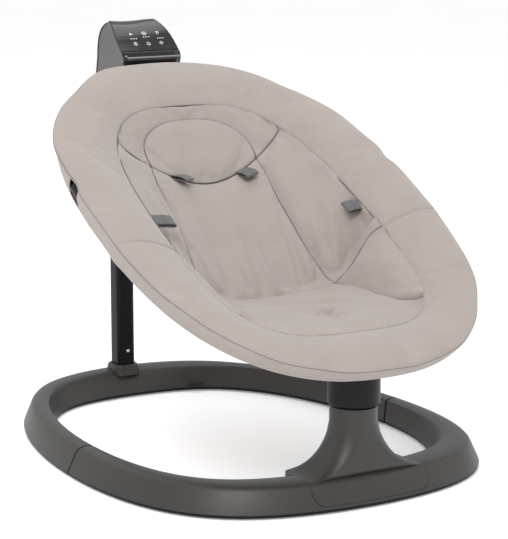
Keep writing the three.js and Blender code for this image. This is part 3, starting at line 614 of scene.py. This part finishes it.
def resample(points, spacing):
    """The same line with its points spread evenly."""
    points = np.asarray(points, float)
    reach = np.concatenate([[0], np.cumsum(np.linalg.norm(np.diff(points, axis=0), axis=1))])
    at = np.linspace(0, reach[-1], max(2, round(reach[-1] / spacing) + 1))
    return np.stack([np.interp(at, reach, axis) for axis in points.T], -1)


def mirrored(line):
    return np.asarray(line, float) * (-1, 1)


def nearest(point, targets):
    return targets[np.argmin(np.linalg.norm(targets - point, axis=1))]


def distance_to_lines(points, lines):
    """How far each point lies from the nearest of the lines."""
    best = np.full(len(points), np.inf)
    for line in lines:
        for a, b in zip(line, line[1:]):
            run = b - a
            t = np.clip((points - a) @ run / max(run @ run, 1e-9), 0, 1)
            best = np.minimum(best, np.linalg.norm(points - a - t[:, None] * run, axis=1))
    return best


def tube_mesh(points, radius, sides=6, closed=False):
    """Points and faces of a round tube along a line."""
    points = np.asarray(points, float)
    ahead = np.roll(points, -1, 0) - np.roll(points, 1, 0) if closed else np.gradient(points, axis=0)
    ahead /= np.maximum(np.linalg.norm(ahead, axis=1, keepdims=True), 1e-12)
    side = np.cross(ahead, OFF_SEAT)
    side /= np.maximum(np.linalg.norm(side, axis=1, keepdims=True), 1e-12)
    up = np.cross(side, ahead)
    turn = np.arange(sides) * 2 * np.pi / sides
    rings = points[:, None] + radius * (np.cos(turn)[None, :, None] * side[:, None]
                                        + np.sin(turn)[None, :, None] * up[:, None])
    count = len(points)
    faces = []
    for i in range(count if closed else count - 1):
        j = (i + 1) % count
        for s in range(sides):
            t = (s + 1) % sides
            faces.append((i * sides + s, i * sides + t, j * sides + t, j * sides + s))
    if not closed:
        faces.append(tuple(range(sides))[::-1])
        faces.append(tuple((count - 1) * sides + s for s in range(sides)))
    return rings.reshape(-1, 3), faces


def join_meshes(parts):
    points, faces, start = [], [], 0
    for some_points, some_faces in parts:
        points.append(some_points)
        faces += [tuple(start + i for i in face) for face in some_faces]
        start += len(some_points)
    return np.concatenate(points), faces


# ---------- Padded panels ----------

def hold_and_inflate(shells, frames=20):
    """Blow every shell up with Blender's cloth while its seams stay where they are sewn."""
    for shell in shells:
        piece = shell["piece"]
        group = piece.vertex_groups.new(name="sewn")
        group.add([int(i) for i in np.flatnonzero(shell["sewn"])], 1, "REPLACE")
        cloth = piece.modifiers.new("cloth", "CLOTH")
        settings = cloth.settings
        settings.quality = 6
        settings.mass = 0.2
        settings.vertex_group_mass = "sewn"
        settings.pin_stiffness = 1
        settings.tension_stiffness = settings.compression_stiffness = shell["stiffness"]
        settings.shear_stiffness = shell["stiffness"] / 2
        settings.bending_stiffness = 0.4
        settings.shrink_min = shell["shrink"]
        settings.use_pressure = True
        settings.uniform_pressure_force = shell["pressure"]
        settings.effector_weights.gravity = 0
        cloth.collision_settings.use_collision = False
        cloth.point_cache.frame_start = 1
        cloth.point_cache.frame_end = frames
    for step in range(1, frames + 1):
        bpy.context.scene.frame_set(step)
    for shell in shells:
        piece = shell["piece"]
        rest = vertex_places(piece)
        apply_modifiers(piece)
        piece.vertex_groups.clear()
        move = vertex_places(piece) - rest
        size = np.linalg.norm(move, axis=1, keepdims=True)
        cap = shell["cap"]
        eased = cap * np.tanh(size / cap) / np.maximum(size, 1e-9)
        set_vertex_places(piece, rest + move * eased)
    bpy.context.scene.frame_set(1)


def vertex_places(piece):
    flat = np.empty(len(piece.data.vertices) * 3)
    piece.data.vertices.foreach_get("co", flat)
    return flat.reshape(-1, 3)


def set_vertex_places(piece, places):
    piece.data.vertices.foreach_set("co", np.asarray(places, float).ravel())
    piece.data.update()


def close_underneath(piece, rest, thickness):
    """Give an open shell a plain underside, so that it is one closed pad."""
    top = vertex_places(piece)
    faces = [tuple(face.vertices) for face in piece.data.polygons]
    count = len(top)
    edges = {(a, b) for face in faces for a, b in zip(face, face[1:] + face[:1])}
    walls = [(b, a, a + count, b + count) for a, b in edges if (b, a) not in edges]
    under = [tuple(i + count for i in reversed(face)) for face in faces]
    places = np.concatenate([top, rest - thickness * MM * OFF_SEAT])
    mesh = bpy.data.meshes.new(piece.name)
    mesh.from_pydata([tuple(p) for p in places], [], faces + walls + under)
    mesh.polygons.foreach_set("use_smooth", [True] * len(mesh.polygons))
    mesh.materials.append(piece.data.materials[0])
    old = piece.data
    piece.data = mesh
    bpy.data.meshes.remove(old)


# The bucket's seams, from the middle line out to +X, in the seat's own directions.
def smile_along(across):
    """The curved seam under the head cushion: how far along the seat it runs at a place across it."""
    return 140 + 52 * (np.abs(across) / 127) ** 1.9


SMILE_HALF = np.array([(p, smile_along(p)) for p in np.linspace(0, 125, 40)])
PAD_CORNER = (82, float(smile_along(82)))
CREASE_CORNER = (97, -63)
SIDE_SEAM = smooth_line([PAD_CORNER, (84.5, 140), (84.5, 95), (85.5, 50), (88.5, 5), (92.5, -32),
                         CREASE_CORNER])
CREASE_HALF = np.array([(p, -55 - 8 * (p / 97) ** 2) for p in np.linspace(0, 97, 30)])
GUSSET_TOP = smooth_line([CREASE_CORNER, (110, -60), (121, -53), (132, -45), (142, -39), (152.1, -39.5)])
GUSSET_BOTTOM = smooth_line([CREASE_CORNER, (104, -88), (109, -111), (112, -144), (115, -166), (124, -181),
                             (133, -190)])
PAD_TURN = np.linspace(-0.167, np.pi / 2, 50)
PAD_HALF = np.stack([83 * np.cos(PAD_TURN) ** (2 / 2.3),
                     175 + 57 * np.sign(np.sin(PAD_TURN)) * np.abs(np.sin(PAD_TURN)) ** (2 / 2.3)], -1)


def whole(half):
    """A line over both sides, from its half that starts on the middle line."""
    return np.concatenate([mirrored(half)[::-1], half[1:]])


def bucket_seams():
    """Every seam in the cutting plane, with the depth that it is sewn down."""
    turn = np.linspace(0, 2 * np.pi, 1441)
    opening = oval(INNER, turn)
    border = resample(opening * (WALL_STRETCH, 1), 4)
    border[-1] = border[0]
    seams = [dict(name="border", line=border, sink=SINK)]

    def sew(name, line, sink, ends):
        cut = resample(unroll(*np.asarray(line).T), 4)
        cut[0] = nearest(cut[0], ends)
        cut[-1] = nearest(cut[-1], ends)
        seams.append(dict(name=name, line=cut, sink=sink))
        return cut

    smile = sew("smile", whole(SMILE_HALF), SINK, border)
    crease = sew("crease", whole(CREASE_HALF), 2.2, resample(unroll(*whole(CREASE_HALF).T), 4))
    pad = whole(PAD_HALF[::-1])
    sew("pad", pad, 2.0, smile)
    joints = np.concatenate([smile, crease, border])
    for flip in (lambda line: line, mirrored):
        sew("side", flip(SIDE_SEAM), SINK, joints)
        sew("gusset top", flip(GUSSET_TOP), SINK, joints)
        sew("gusset bottom", flip(GUSSET_BOTTOM), 2.4, joints)
    return seams


GRID_STEP = 4.6


def loose_points(lines):
    """The bucket's points between its seams: a row close beside each seam, and a staggered grid elsewhere."""
    reach = lines[0].max(0)
    grid = [(a + (row % 2) * GRID_STEP / 2, q)
            for row, q in enumerate(np.arange(-reach[1], reach[1], GRID_STEP * 0.866))
            for a in np.arange(-reach[0] - GRID_STEP, reach[0] + GRID_STEP, GRID_STEP)]
    grid = np.array(grid)
    beside = []
    for line in lines:
        ahead = np.gradient(line, axis=0)
        ahead /= np.maximum(np.linalg.norm(ahead, axis=1, keepdims=True), 1e-9)
        normal = np.stack([-ahead[:, 1], ahead[:, 0]], -1)
        beside += [line + EDGE_STEP * normal, line - EDGE_STEP * normal]
    beside = np.concatenate(beside)
    beside = beside[distance_to_lines(beside, lines) > EDGE_STEP * 0.9]
    grid = grid[distance_to_lines(grid, lines) > 3.2]
    loose = np.concatenate([beside, grid])
    inside = np.abs(loose[:, 0]) < WALL_STRETCH * half_width(loose[:, 1]) - 0.5
    return loose[inside & (np.abs(loose[:, 1]) < INNER["length"] - 0.5)]


def cut_cloth(seams, loose):
    """The laid-out bucket as triangles that follow every seam, with how deep each point is sewn down."""
    sewn_points, sewn_sink, edges = [], [], []
    for seam in seams:
        start = len(sewn_points)
        sewn_points += list(seam["line"])
        sewn_sink += [seam["sink"]] * len(seam["line"])
        edges += [(start + i, start + i + 1) for i in range(len(seam["line"]) - 1)]
    verts = [Vector(p) for p in sewn_points] + [Vector(p) for p in loose]
    border = list(range(len(seams[0]["line"]) - 1))
    cut, _, faces, origin, _, _ = geometry.delaunay_2d_cdt(verts, edges, [border], 1, 0.02)
    cut = np.array([tuple(p) for p in cut])
    sink = [max([sewn_sink[i] for i in ids if i < len(sewn_sink)], default=0) for ids in origin]
    faces = np.array([tuple(face) for face in faces if len(face) == 3])
    return cut, faces, np.array(sink)


def on_head_cushion(places, lines):
    """Which places lie inside the head cushion, between its own seam and the smile."""
    smile, pad = lines[1], lines[3]
    smile = smile[np.abs(smile[:, 0]) < np.abs(pad[:, 0]).max()]
    back = smile if pad[-1, 0] < 0 else smile[::-1]
    return inside_outline(places, np.concatenate([pad, back]))


def build_bucket():
    """The bucket's two shells, before they are inflated: the head cushion, and all the rest."""
    seams = bucket_seams()
    lines = [seam["line"] for seam in seams]
    cut, faces, sink = cut_cloth(seams, loose_points(lines))
    across, along = roll(cut)
    on_border = distance_to_lines(cut, lines[:1]) < 0.5
    sink = np.where(on_border, border_sink(along), sink)
    rest = on_bucket(across, along, seat_height(across, along) - sink)
    folds = fold_height(across, along) * np.clip(distance_to_lines(cut, lines) / 14, 0, 1) ** 1.5
    on_pad = on_head_cushion(cut[faces].mean(axis=1), lines)

    def shell(name, some, **sewing):
        used, index = np.unique(some, return_inverse=True)
        piece = make_piece(name, rest[used], index.reshape(-1, 3), "fabric", "seat")
        return dict(piece=piece, rest=rest[used], sewn=sink[used] > 0, folds=folds[used], **sewing)

    return seams, [
        shell("bucket_pad", faces[~on_pad], stiffness=10, shrink=-0.012, pressure=6.0, cap=0.006),
        shell("head_cushion", faces[on_pad], stiffness=8, shrink=-0.02, pressure=9.0, cap=0.009),
    ]


def border_sink(along):
    """The bucket's edge is sewn down deep round the back, and only quilted flat round the front."""
    back = np.clip((along + 70) / 40, 0, 1)
    return 0.2 + (SINK - 0.2) * back


def inside_outline(points, outline):
    """Which points lie inside a closed outline, by how often a ray from each one crosses it."""
    inside = np.zeros(len(points), bool)
    for a, b in zip(outline, np.roll(outline, -1, axis=0)):
        crosses = (a[1] > points[:, 1]) != (b[1] > points[:, 1])
        run = (b[0] - a[0]) / (b[1] - a[1] if b[1] != a[1] else 1e-9)
        inside ^= crosses & (points[:, 0] < a[0] + run * (points[:, 1] - a[1]))
    return inside


PUCKER = (6, -182)


def noise_at(x, y, z):
    """Smooth noise at each place of two lists of numbers, in one layer of the noise."""
    return np.array([noise.noise(Vector((a, b, z))) for a, b in zip(x, y)])


def round_rim_noise(angles, scale, z):
    """Smooth noise round the rim that meets itself where the circle closes."""
    return noise_at(scale * np.cos(angles), scale * np.sin(angles), z)


def fold_height(across, along):
    """Soft folds down the back, creases under the legs, and one star-shaped pucker."""
    down_back = noise_at(across * 0.062 * (1 + (140 - along) / 500), along * 0.008, 3.7)
    fine_back = noise_at(across * 0.16, along * 0.012, 9.1)
    under_legs = noise_at(across * 0.022 + along * 0.014, along * 0.034, 5.3)
    back = np.clip((along + 70) / 40, 0, 1)
    lower = np.clip((130 - along) / 150, 0.25, 1)
    legs = np.clip((-60 - along) / 15, 0, 1) * np.clip((along + 215) / 60, 0.15, 1)
    away = np.hypot(across - PUCKER[0], along - PUCKER[1])
    turn = np.arctan2(along - PUCKER[1], across - PUCKER[0])
    star = -7 * np.exp(-(away / 7) ** 2) + 9 * np.cos(5 * turn + 0.6) * np.exp(-(away / 20) ** 2) * away / 20
    middle = np.clip((112 - np.abs(across)) / 14, 0, 1)
    return (11 * down_back + 2.4 * fine_back) * back * lower + (9 * under_legs * legs + star) * middle


CROSS_SEAMS = (math.radians(-5), math.radians(185.7))
# The toy bar's sockets show through a slot on each side, between these places along the seat.
SLOT_ALONG = (69, 101)


# Where the cover's edge is pulled in or stands out: place round the rim and width in degrees, and depth.
EDGE_PULLS = [(14, 8, 3), (50, 11, 8.5), (125, 8, 10), (155, 6, -5)]


def rim_edge(angle):
    """The band's outer seam, which wavers a little along the tube."""
    wave = round_rim_noise(angle, 4.6, 8.8)
    edge = oval(RIM, angle)
    inward = -edge / np.linalg.norm(edge, axis=1, keepdims=True)
    at_slot = np.exp(-((edge[:, 1] - sum(SLOT_ALONG) / 2) / 15) ** 2) * (np.abs(edge[:, 0]) > 150)
    inset = 1 + 3 * wave + 4.5 * at_slot
    for degrees, width, depth in EDGE_PULLS:
        inset += depth * np.exp((np.cos(angle - math.radians(degrees)) - 1) / math.radians(width) ** 2)
    return edge + inward * inset[:, None]


def spoke_angles(spacing):
    """Angles that share the rim's outline evenly, with a close pair beside each cross seam."""
    fine = np.linspace(0, 2 * np.pi, 7201)
    edge = oval(RIM, fine)
    reach = np.concatenate([[0], np.cumsum(np.linalg.norm(np.diff(edge, axis=0), axis=1))])
    seams = np.interp(np.mod(CROSS_SEAMS, 2 * np.pi), fine, reach)
    even = np.arange(0, reach[-1] - spacing / 2, spacing)
    even = even[np.all(np.abs(even[:, None] - seams) > 0.7 * spacing, axis=1)]
    close = np.concatenate([seams - EDGE_STEP, seams, seams + EDGE_STEP])
    places = np.sort(np.concatenate([even, close]))
    on_seam = np.isin(places, seams)
    return np.interp(places, reach, fine), on_seam


def round_faces(row, count, left_out=()):
    """Faces between one closed row of points and the next, without those at some places."""
    faces = []
    for i in range(count):
        j = (i + 1) % count
        if i not in left_out:
            faces.append((row * count + i, row * count + j, (row + 1) * count + j, (row + 1) * count + i))
    return faces


def build_rim_band():
    """The padded band between the rim's edge and the bucket, before it is inflated."""
    angles, on_seam = spoke_angles(5)
    outer, inner = rim_edge(angles), oval(INNER, angles + math.radians(1.6) * np.cos(angles))
    inside = np.concatenate([[0, EDGE_STEP / 95], np.linspace(0.045, 0.955, 19), [1 - EDGE_STEP / 95, 1]])
    seam = inner_seam_height(inner[:, 0])
    inner[:, 0] += lean(*inner.T)
    rows = []
    for f in inside:
        flat = outer + f * (inner - outer)
        rise = math.sin(math.pi * f)
        wave = round_rim_noise(angles, 3.1, f * 0.7)
        height = seam * f ** 1.6 + 7.5 * max(0, rise) ** 0.8 * (1 - 0.35 * f) + 1.6 * wave * rise
        if f == 0:
            height = height - 3
        elif f == 1:
            height = seam - border_sink(flat[:, 1])
        else:
            height = np.where(on_seam, height - 3, height - 1.2 * (1 - f))
        rows.append(on_seat(flat[:, 0], flat[:, 1], height))
    rest = np.concatenate(rows)
    count = len(angles)
    faces = sum([round_faces(row, count) for row in range(len(inside) - 1)], [])
    sewn = np.tile(on_seam, len(inside))
    sewn[:count] = True
    sewn[-count:] = True
    piece = make_piece("rim_band", rest, faces, "fabric", "seat")
    return dict(piece=piece, rest=rest, sewn=sewn, folds=np.zeros(len(rest)),
                stiffness=12, shrink=-0.006, pressure=3.0, cap=0.005)


# The turned-down edge goes over the tube and in underneath it: insets from the rim's outline, and heights.
SKIRT = [(1.5, -2.8), (1.5, -6), (2.6, -10.5), (4.6, -14.5), (6.4, -18.5), (8.2, -22.5), (11.5, -26.2),
         (17.5, -28.6), (33, -29.8)]
CLOTH_THICKNESS = 1.2
# The skirt bulges over the tube's connectors at this place along the seat.
CONNECTOR_ALONG = -43
# The slots for the sockets are open between these rows of the skirt.
SLOT_ROWS = range(1, 15)


def build_skirt():
    """The cover's turned-down edge, open at the toy bar's sockets."""
    angles, _ = spoke_angles(5)
    edge = rim_edge(angles)
    outline = oval(RIM, angles)
    inward = -outline / np.linalg.norm(outline, axis=1, keepdims=True)
    start = np.linalg.norm(edge - outline, axis=1)
    deeper = 1 + 0.35 * np.abs(np.cos(angles)) ** 2
    rows = []
    for depth, (inset, above) in enumerate(smooth_line(SKIRT, 3)):
        wave = round_rim_noise(angles, 11, depth * 0.2)
        own = min(1, depth / 11)
        inset = inset - 1.8 * np.exp(-((outline[:, 1] - CONNECTOR_ALONG) / 16) ** 2) * min(1, depth / 6)
        shift = start * (1 - own) + inset * own + 1.5 * wave * min(1, depth / 6) * (1 - 0.5 * own)
        flat = outline + inward * np.minimum(shift, np.maximum(inset, start))[:, None]
        height = above * (1 + (deeper - 1) * min(1, depth / 8))
        rows.append(on_seat(flat[:, 0], flat[:, 1], height))
    middle = (outline[:, 1] + np.roll(outline[:, 1], -1)) / 2
    at_slot = set(np.flatnonzero((SLOT_ALONG[0] < middle) & (middle < SLOT_ALONG[1])))
    faces = []
    for row in range(len(rows) - 1):
        left_out = at_slot if row in SLOT_ROWS else ()
        faces += [face[::-1] for face in round_faces(row, len(angles), left_out)]
    piece = make_piece("rim_skirt", np.concatenate(rows), faces, "fabric", "seat")
    thicken(piece, CLOTH_THICKNESS, -1)
    soften(piece)
    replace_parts(piece, "rim_cover")
    return piece


def dashes(line, length, gap, radius):
    """A row of short stitches along a line, all in metres."""
    fine = resample(line, (length + gap) / 2)
    return [tube_mesh([a, a + 0.6 * (b - a), b], radius, 5) for a, b in zip(fine[::2], fine[1::2])]


def border_arc(start, end):
    """Places on the bucket's border between two angles in degrees."""
    turn = np.linspace(math.radians(start), math.radians(end), 721)
    return resample(oval(INNER, turn), 3).T


def border_shade_and_stitches():
    """Round the back a dark line of painted shade down in the seam; over the front a folded edge with pale
    stitches on it.
    """
    across, along = border_arc(-2, 182)
    height = inner_seam_height(across) - border_sink(along) * 0.7
    dark = [tube_mesh(on_bucket(across, along, height), 0.5 * MM)]
    across, along = border_arc(186, 354)
    height = inner_seam_height(across)
    folded = [tube_mesh(on_bucket(across, along, height - 0.5), 1.3 * MM, 8)]
    stitched = (np.abs(across) < 110) & (along < -100)
    top = on_bucket(across, along, height + 0.75)[stitched]
    return dark, dashes(top, 3.2 * MM, 2.6 * MM, 0.26 * MM), folded


def head_cushion_shade_and_stitches(seam):
    """Pale stitches over the cushion's top, and dark lines of painted shade down its two sides."""
    across, along = roll(seam["line"])
    top = on_bucket(across, along, seat_height(across, along) - 0.6)
    pale = dashes(top[along > 190], 2.6 * MM, 2.2 * MM, 0.4 * MM)
    dark = [tube_mesh(top[side & (along < 203)], 0.35 * MM) for side in (across > 0, across < 0)]
    return dark, pale


def panel_seam_shade(seam):
    """A dark line of painted shade down in one of the seams between the bucket's panels."""
    across, along = roll(seam["line"])
    height = seat_height(across, along) - seam["sink"] * 0.6
    radius = 0.75 * MM if seam["name"] in ("gusset top", "smile") else 0.5 * MM
    return tube_mesh(on_bucket(across, along, height), radius)


def outer_seam_shade_line():
    """A darker line of painted shade in the crease of the band's outer seam, all round the rim."""
    edge = resample(rim_edge(np.linspace(0, 2 * np.pi, 2881)), 4)[:-1]
    return tube_mesh(on_seat(edge[:, 0], edge[:, 1], -3.4), 0.45 * MM, closed=True)


def build_seam_shade_and_stitches(seams):
    """A dark line of painted shade down in each seam, and pale stitches round the head pad and over the front."""
    dark, pale, folded = border_shade_and_stitches()
    for seam in seams:
        if seam["name"] == "pad":
            pad_dark, pad_pale = head_cushion_shade_and_stitches(seam)
            dark += pad_dark
            pale += pad_pale
        elif seam["name"] not in ("border", "crease"):
            dark.append(panel_seam_shade(seam))
    for name, parts, key in (("seam_shade_lines", dark, "seam"), ("stitches", pale, "thread"),
                             ("edge_seam_shade", [outer_seam_shade_line()], "edge_seam_shade"), ("front_fold", folded, "fabric")):
        points, faces = join_meshes(parts)
        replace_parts(make_piece(name, points, faces, key, "seat"), "seat_liner")


def finish_shell(shell, thickness, node):
    """Adds an inflated shell's folds and underside, and puts it in its CAD node's place."""
    piece = shell["piece"]
    set_vertex_places(piece, vertex_places(piece) + MM * shell["folds"][:, None] * OFF_SEAT)
    close_underneath(piece, shell["rest"], thickness)
    soften(piece)
    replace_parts(piece, node)


# ---------- Harness loops ----------

STRAP_WIDTH = 20
WEBBING_THICKNESS = 1.3
# Where each loop comes out of its seam, and the ways it points and spans, in the seat's own directions.
LOOPS = {
    "shoulder_strap_left": dict(root=(-50, 150), out=(0.55, -1, 0.3), span=(1, 0.3, -0.25), length=24),
    "shoulder_strap_right": dict(root=(55, 148), out=(0.12, -1, 0.35), span=(1, 0.05, 0.25), length=23),
    "waist_strap_left": dict(root=(-152, 22), out=(1, -0.05, -0.12), span=(0, 1, 0), length=30),
    "waist_strap_right": dict(root=(161, 15), out=(-1, -0.1, -0.05), span=(0, 1, 0.05), length=24),
}


def build_loop(name, root, out, span, length):
    """Webbing that leaves the seam, turns back on itself and goes in again."""
    sewn_in = min(abs(root[0]), INNER["width"] - 1)
    root = np.array([*root, float(trough_height(sewn_in, root[1])) + 1.5])
    out = np.array(out) / np.linalg.norm(out)
    span = np.array(span) - out * np.dot(span, out)
    span /= np.linalg.norm(span)
    lift = np.cross(span, out)
    lift *= np.sign(lift[2])
    path = [(-3, -1), (length * 0.25, 0.6), (length * 0.6, 1.4), (length - 2, 0.6), (length, -1.2),
            (length - 2, -3), (length * 0.6, -3.2), (length * 0.25, -3.8), (-3, -3)]
    path = smooth_line(path, 5)
    widths = np.linspace(-0.5, 0.5, 7) * STRAP_WIDTH
    rows = np.array([[root + out * x + lift * (y + 0.02 * abs(v)) + span * v for v in widths]
                     for x, y in path])
    points = on_seat(rows[..., 0].ravel(), rows[..., 1].ravel(), rows[..., 2].ravel())
    faces = grid_faces(len(path), len(widths))
    piece = make_piece(f"{name}_webbing", points, faces, "webbing", "seat")
    thicken(piece, WEBBING_THICKNESS, 0)
    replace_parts(piece, name)

    stitch = [root + out * length * 0.5 + lift * 2.3 + span * v for v in np.linspace(-9, 9, 12)]
    stitch = np.array(stitch)
    row = on_seat(stitch[:, 0], stitch[:, 1], stitch[:, 2])
    points, faces = join_meshes(dashes(row, 1.6 * MM, 1.0 * MM, 0.35 * MM))
    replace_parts(make_piece(f"{name}_stitches", points, faces, "seam", "seat"), name)


def build_soft_goods():
    seams, (bucket, head) = build_bucket()
    rim = build_rim_band()
    hold_and_inflate([bucket, head, rim])
    finish_shell(bucket, 6, "seat_liner")
    finish_shell(head, 4, "head_pad")
    finish_shell(rim, 4, "rim_cover")
    build_skirt()
    build_seam_shade_and_stitches(seams)
    for name, loop in LOOPS.items():
        build_loop(name, **loop)


# ---------- Camera, light and floor ----------

def build_stage():
    bpy.ops.mesh.primitive_plane_add(size=80, location=(BASE_MIDDLE.x, BASE_MIDDLE.y, 0))
    floor = bpy.context.object
    floor.name = "floor"
    n = Nodes("floor_paper")
    tint = n.ramp(n.noise(3, 2), (0.3, (0.95, 0.95, 0.95)), (0.7, (0.97, 0.97, 0.97)))
    floor.data.materials.append(n.finish(Base_Color=tint, Roughness=0.9, Specular_IOR_Level=0.1,
                                         Emission_Color=(1, 1, 1, 1), Emission_Strength=0.22))

    world = bpy.data.worlds.new("studio")
    world.use_nodes = True
    world.node_tree.nodes["Background"].inputs["Color"].default_value = (1, 1, 1, 1)
    world.node_tree.nodes["Background"].inputs["Strength"].default_value = 0.78
    bpy.context.scene.world = world

    def softbox(name, place, size, power):
        light = bpy.data.lights.new(name, "AREA")
        light.shape = "RECTANGLE"
        light.size, light.size_y = size
        light.energy = power
        lamp = bpy.data.objects.new(name, light)
        bpy.context.scene.collection.objects.link(lamp)
        lamp.location = BASE_MIDDLE + Vector(place)
        lamp.rotation_mode = "QUATERNION"
        target = BASE_MIDDLE + Vector((0, 0, 0.25))
        lamp.rotation_quaternion = (target - lamp.location).to_track_quat("-Z", "Y")

    softbox("key_light", (-1.6, -1.9, 2.6), (1.5, 1.5), 58)
    softbox("fill_light", (2.4, -1.4, 1.6), (2.0, 2.0), 5)
    softbox("top_light", (0.2, 0.8, 3.0), (2.4, 2.4), 30)


# Where the camera stands from the middle of the floor ring: back along its own view, then aside and up.
CAMERA_AZIMUTH = math.radians(-31.17)
CAMERA_ELEVATION = math.radians(10.85)
CAMERA_DISTANCE = 2840.605 * MM
CAMERA_ASIDE = 30.397 * MM
CAMERA_RAISE = 234.923 * MM
LENS = 138.8


def build_camera():
    level = math.cos(CAMERA_ELEVATION)
    right = Vector((math.cos(CAMERA_AZIMUTH), math.sin(CAMERA_AZIMUTH), 0))
    back = Vector((right.y * level, -right.x * level, math.sin(CAMERA_ELEVATION)))
    up = back.cross(right)
    camera = bpy.data.objects.new("camera", bpy.data.cameras.new("camera"))
    bpy.context.scene.collection.objects.link(camera)
    camera.location = BASE_MIDDLE + back * CAMERA_DISTANCE + right * CAMERA_ASIDE + up * CAMERA_RAISE
    camera.rotation_mode = "QUATERNION"
    camera.rotation_quaternion = (-back).to_track_quat("-Z", "Y")
    camera.data.lens = LENS
    camera.data.sensor_width = 36
    camera.data.clip_start = 0.05
    camera.data.clip_end = 50
    bpy.context.scene.camera = camera


build_camera()
build_stage()
paint_cad_nodes()
build_hard_parts()
build_pod()
build_soft_goods()
bpy.context.scene.view_settings.view_transform = "Standard"
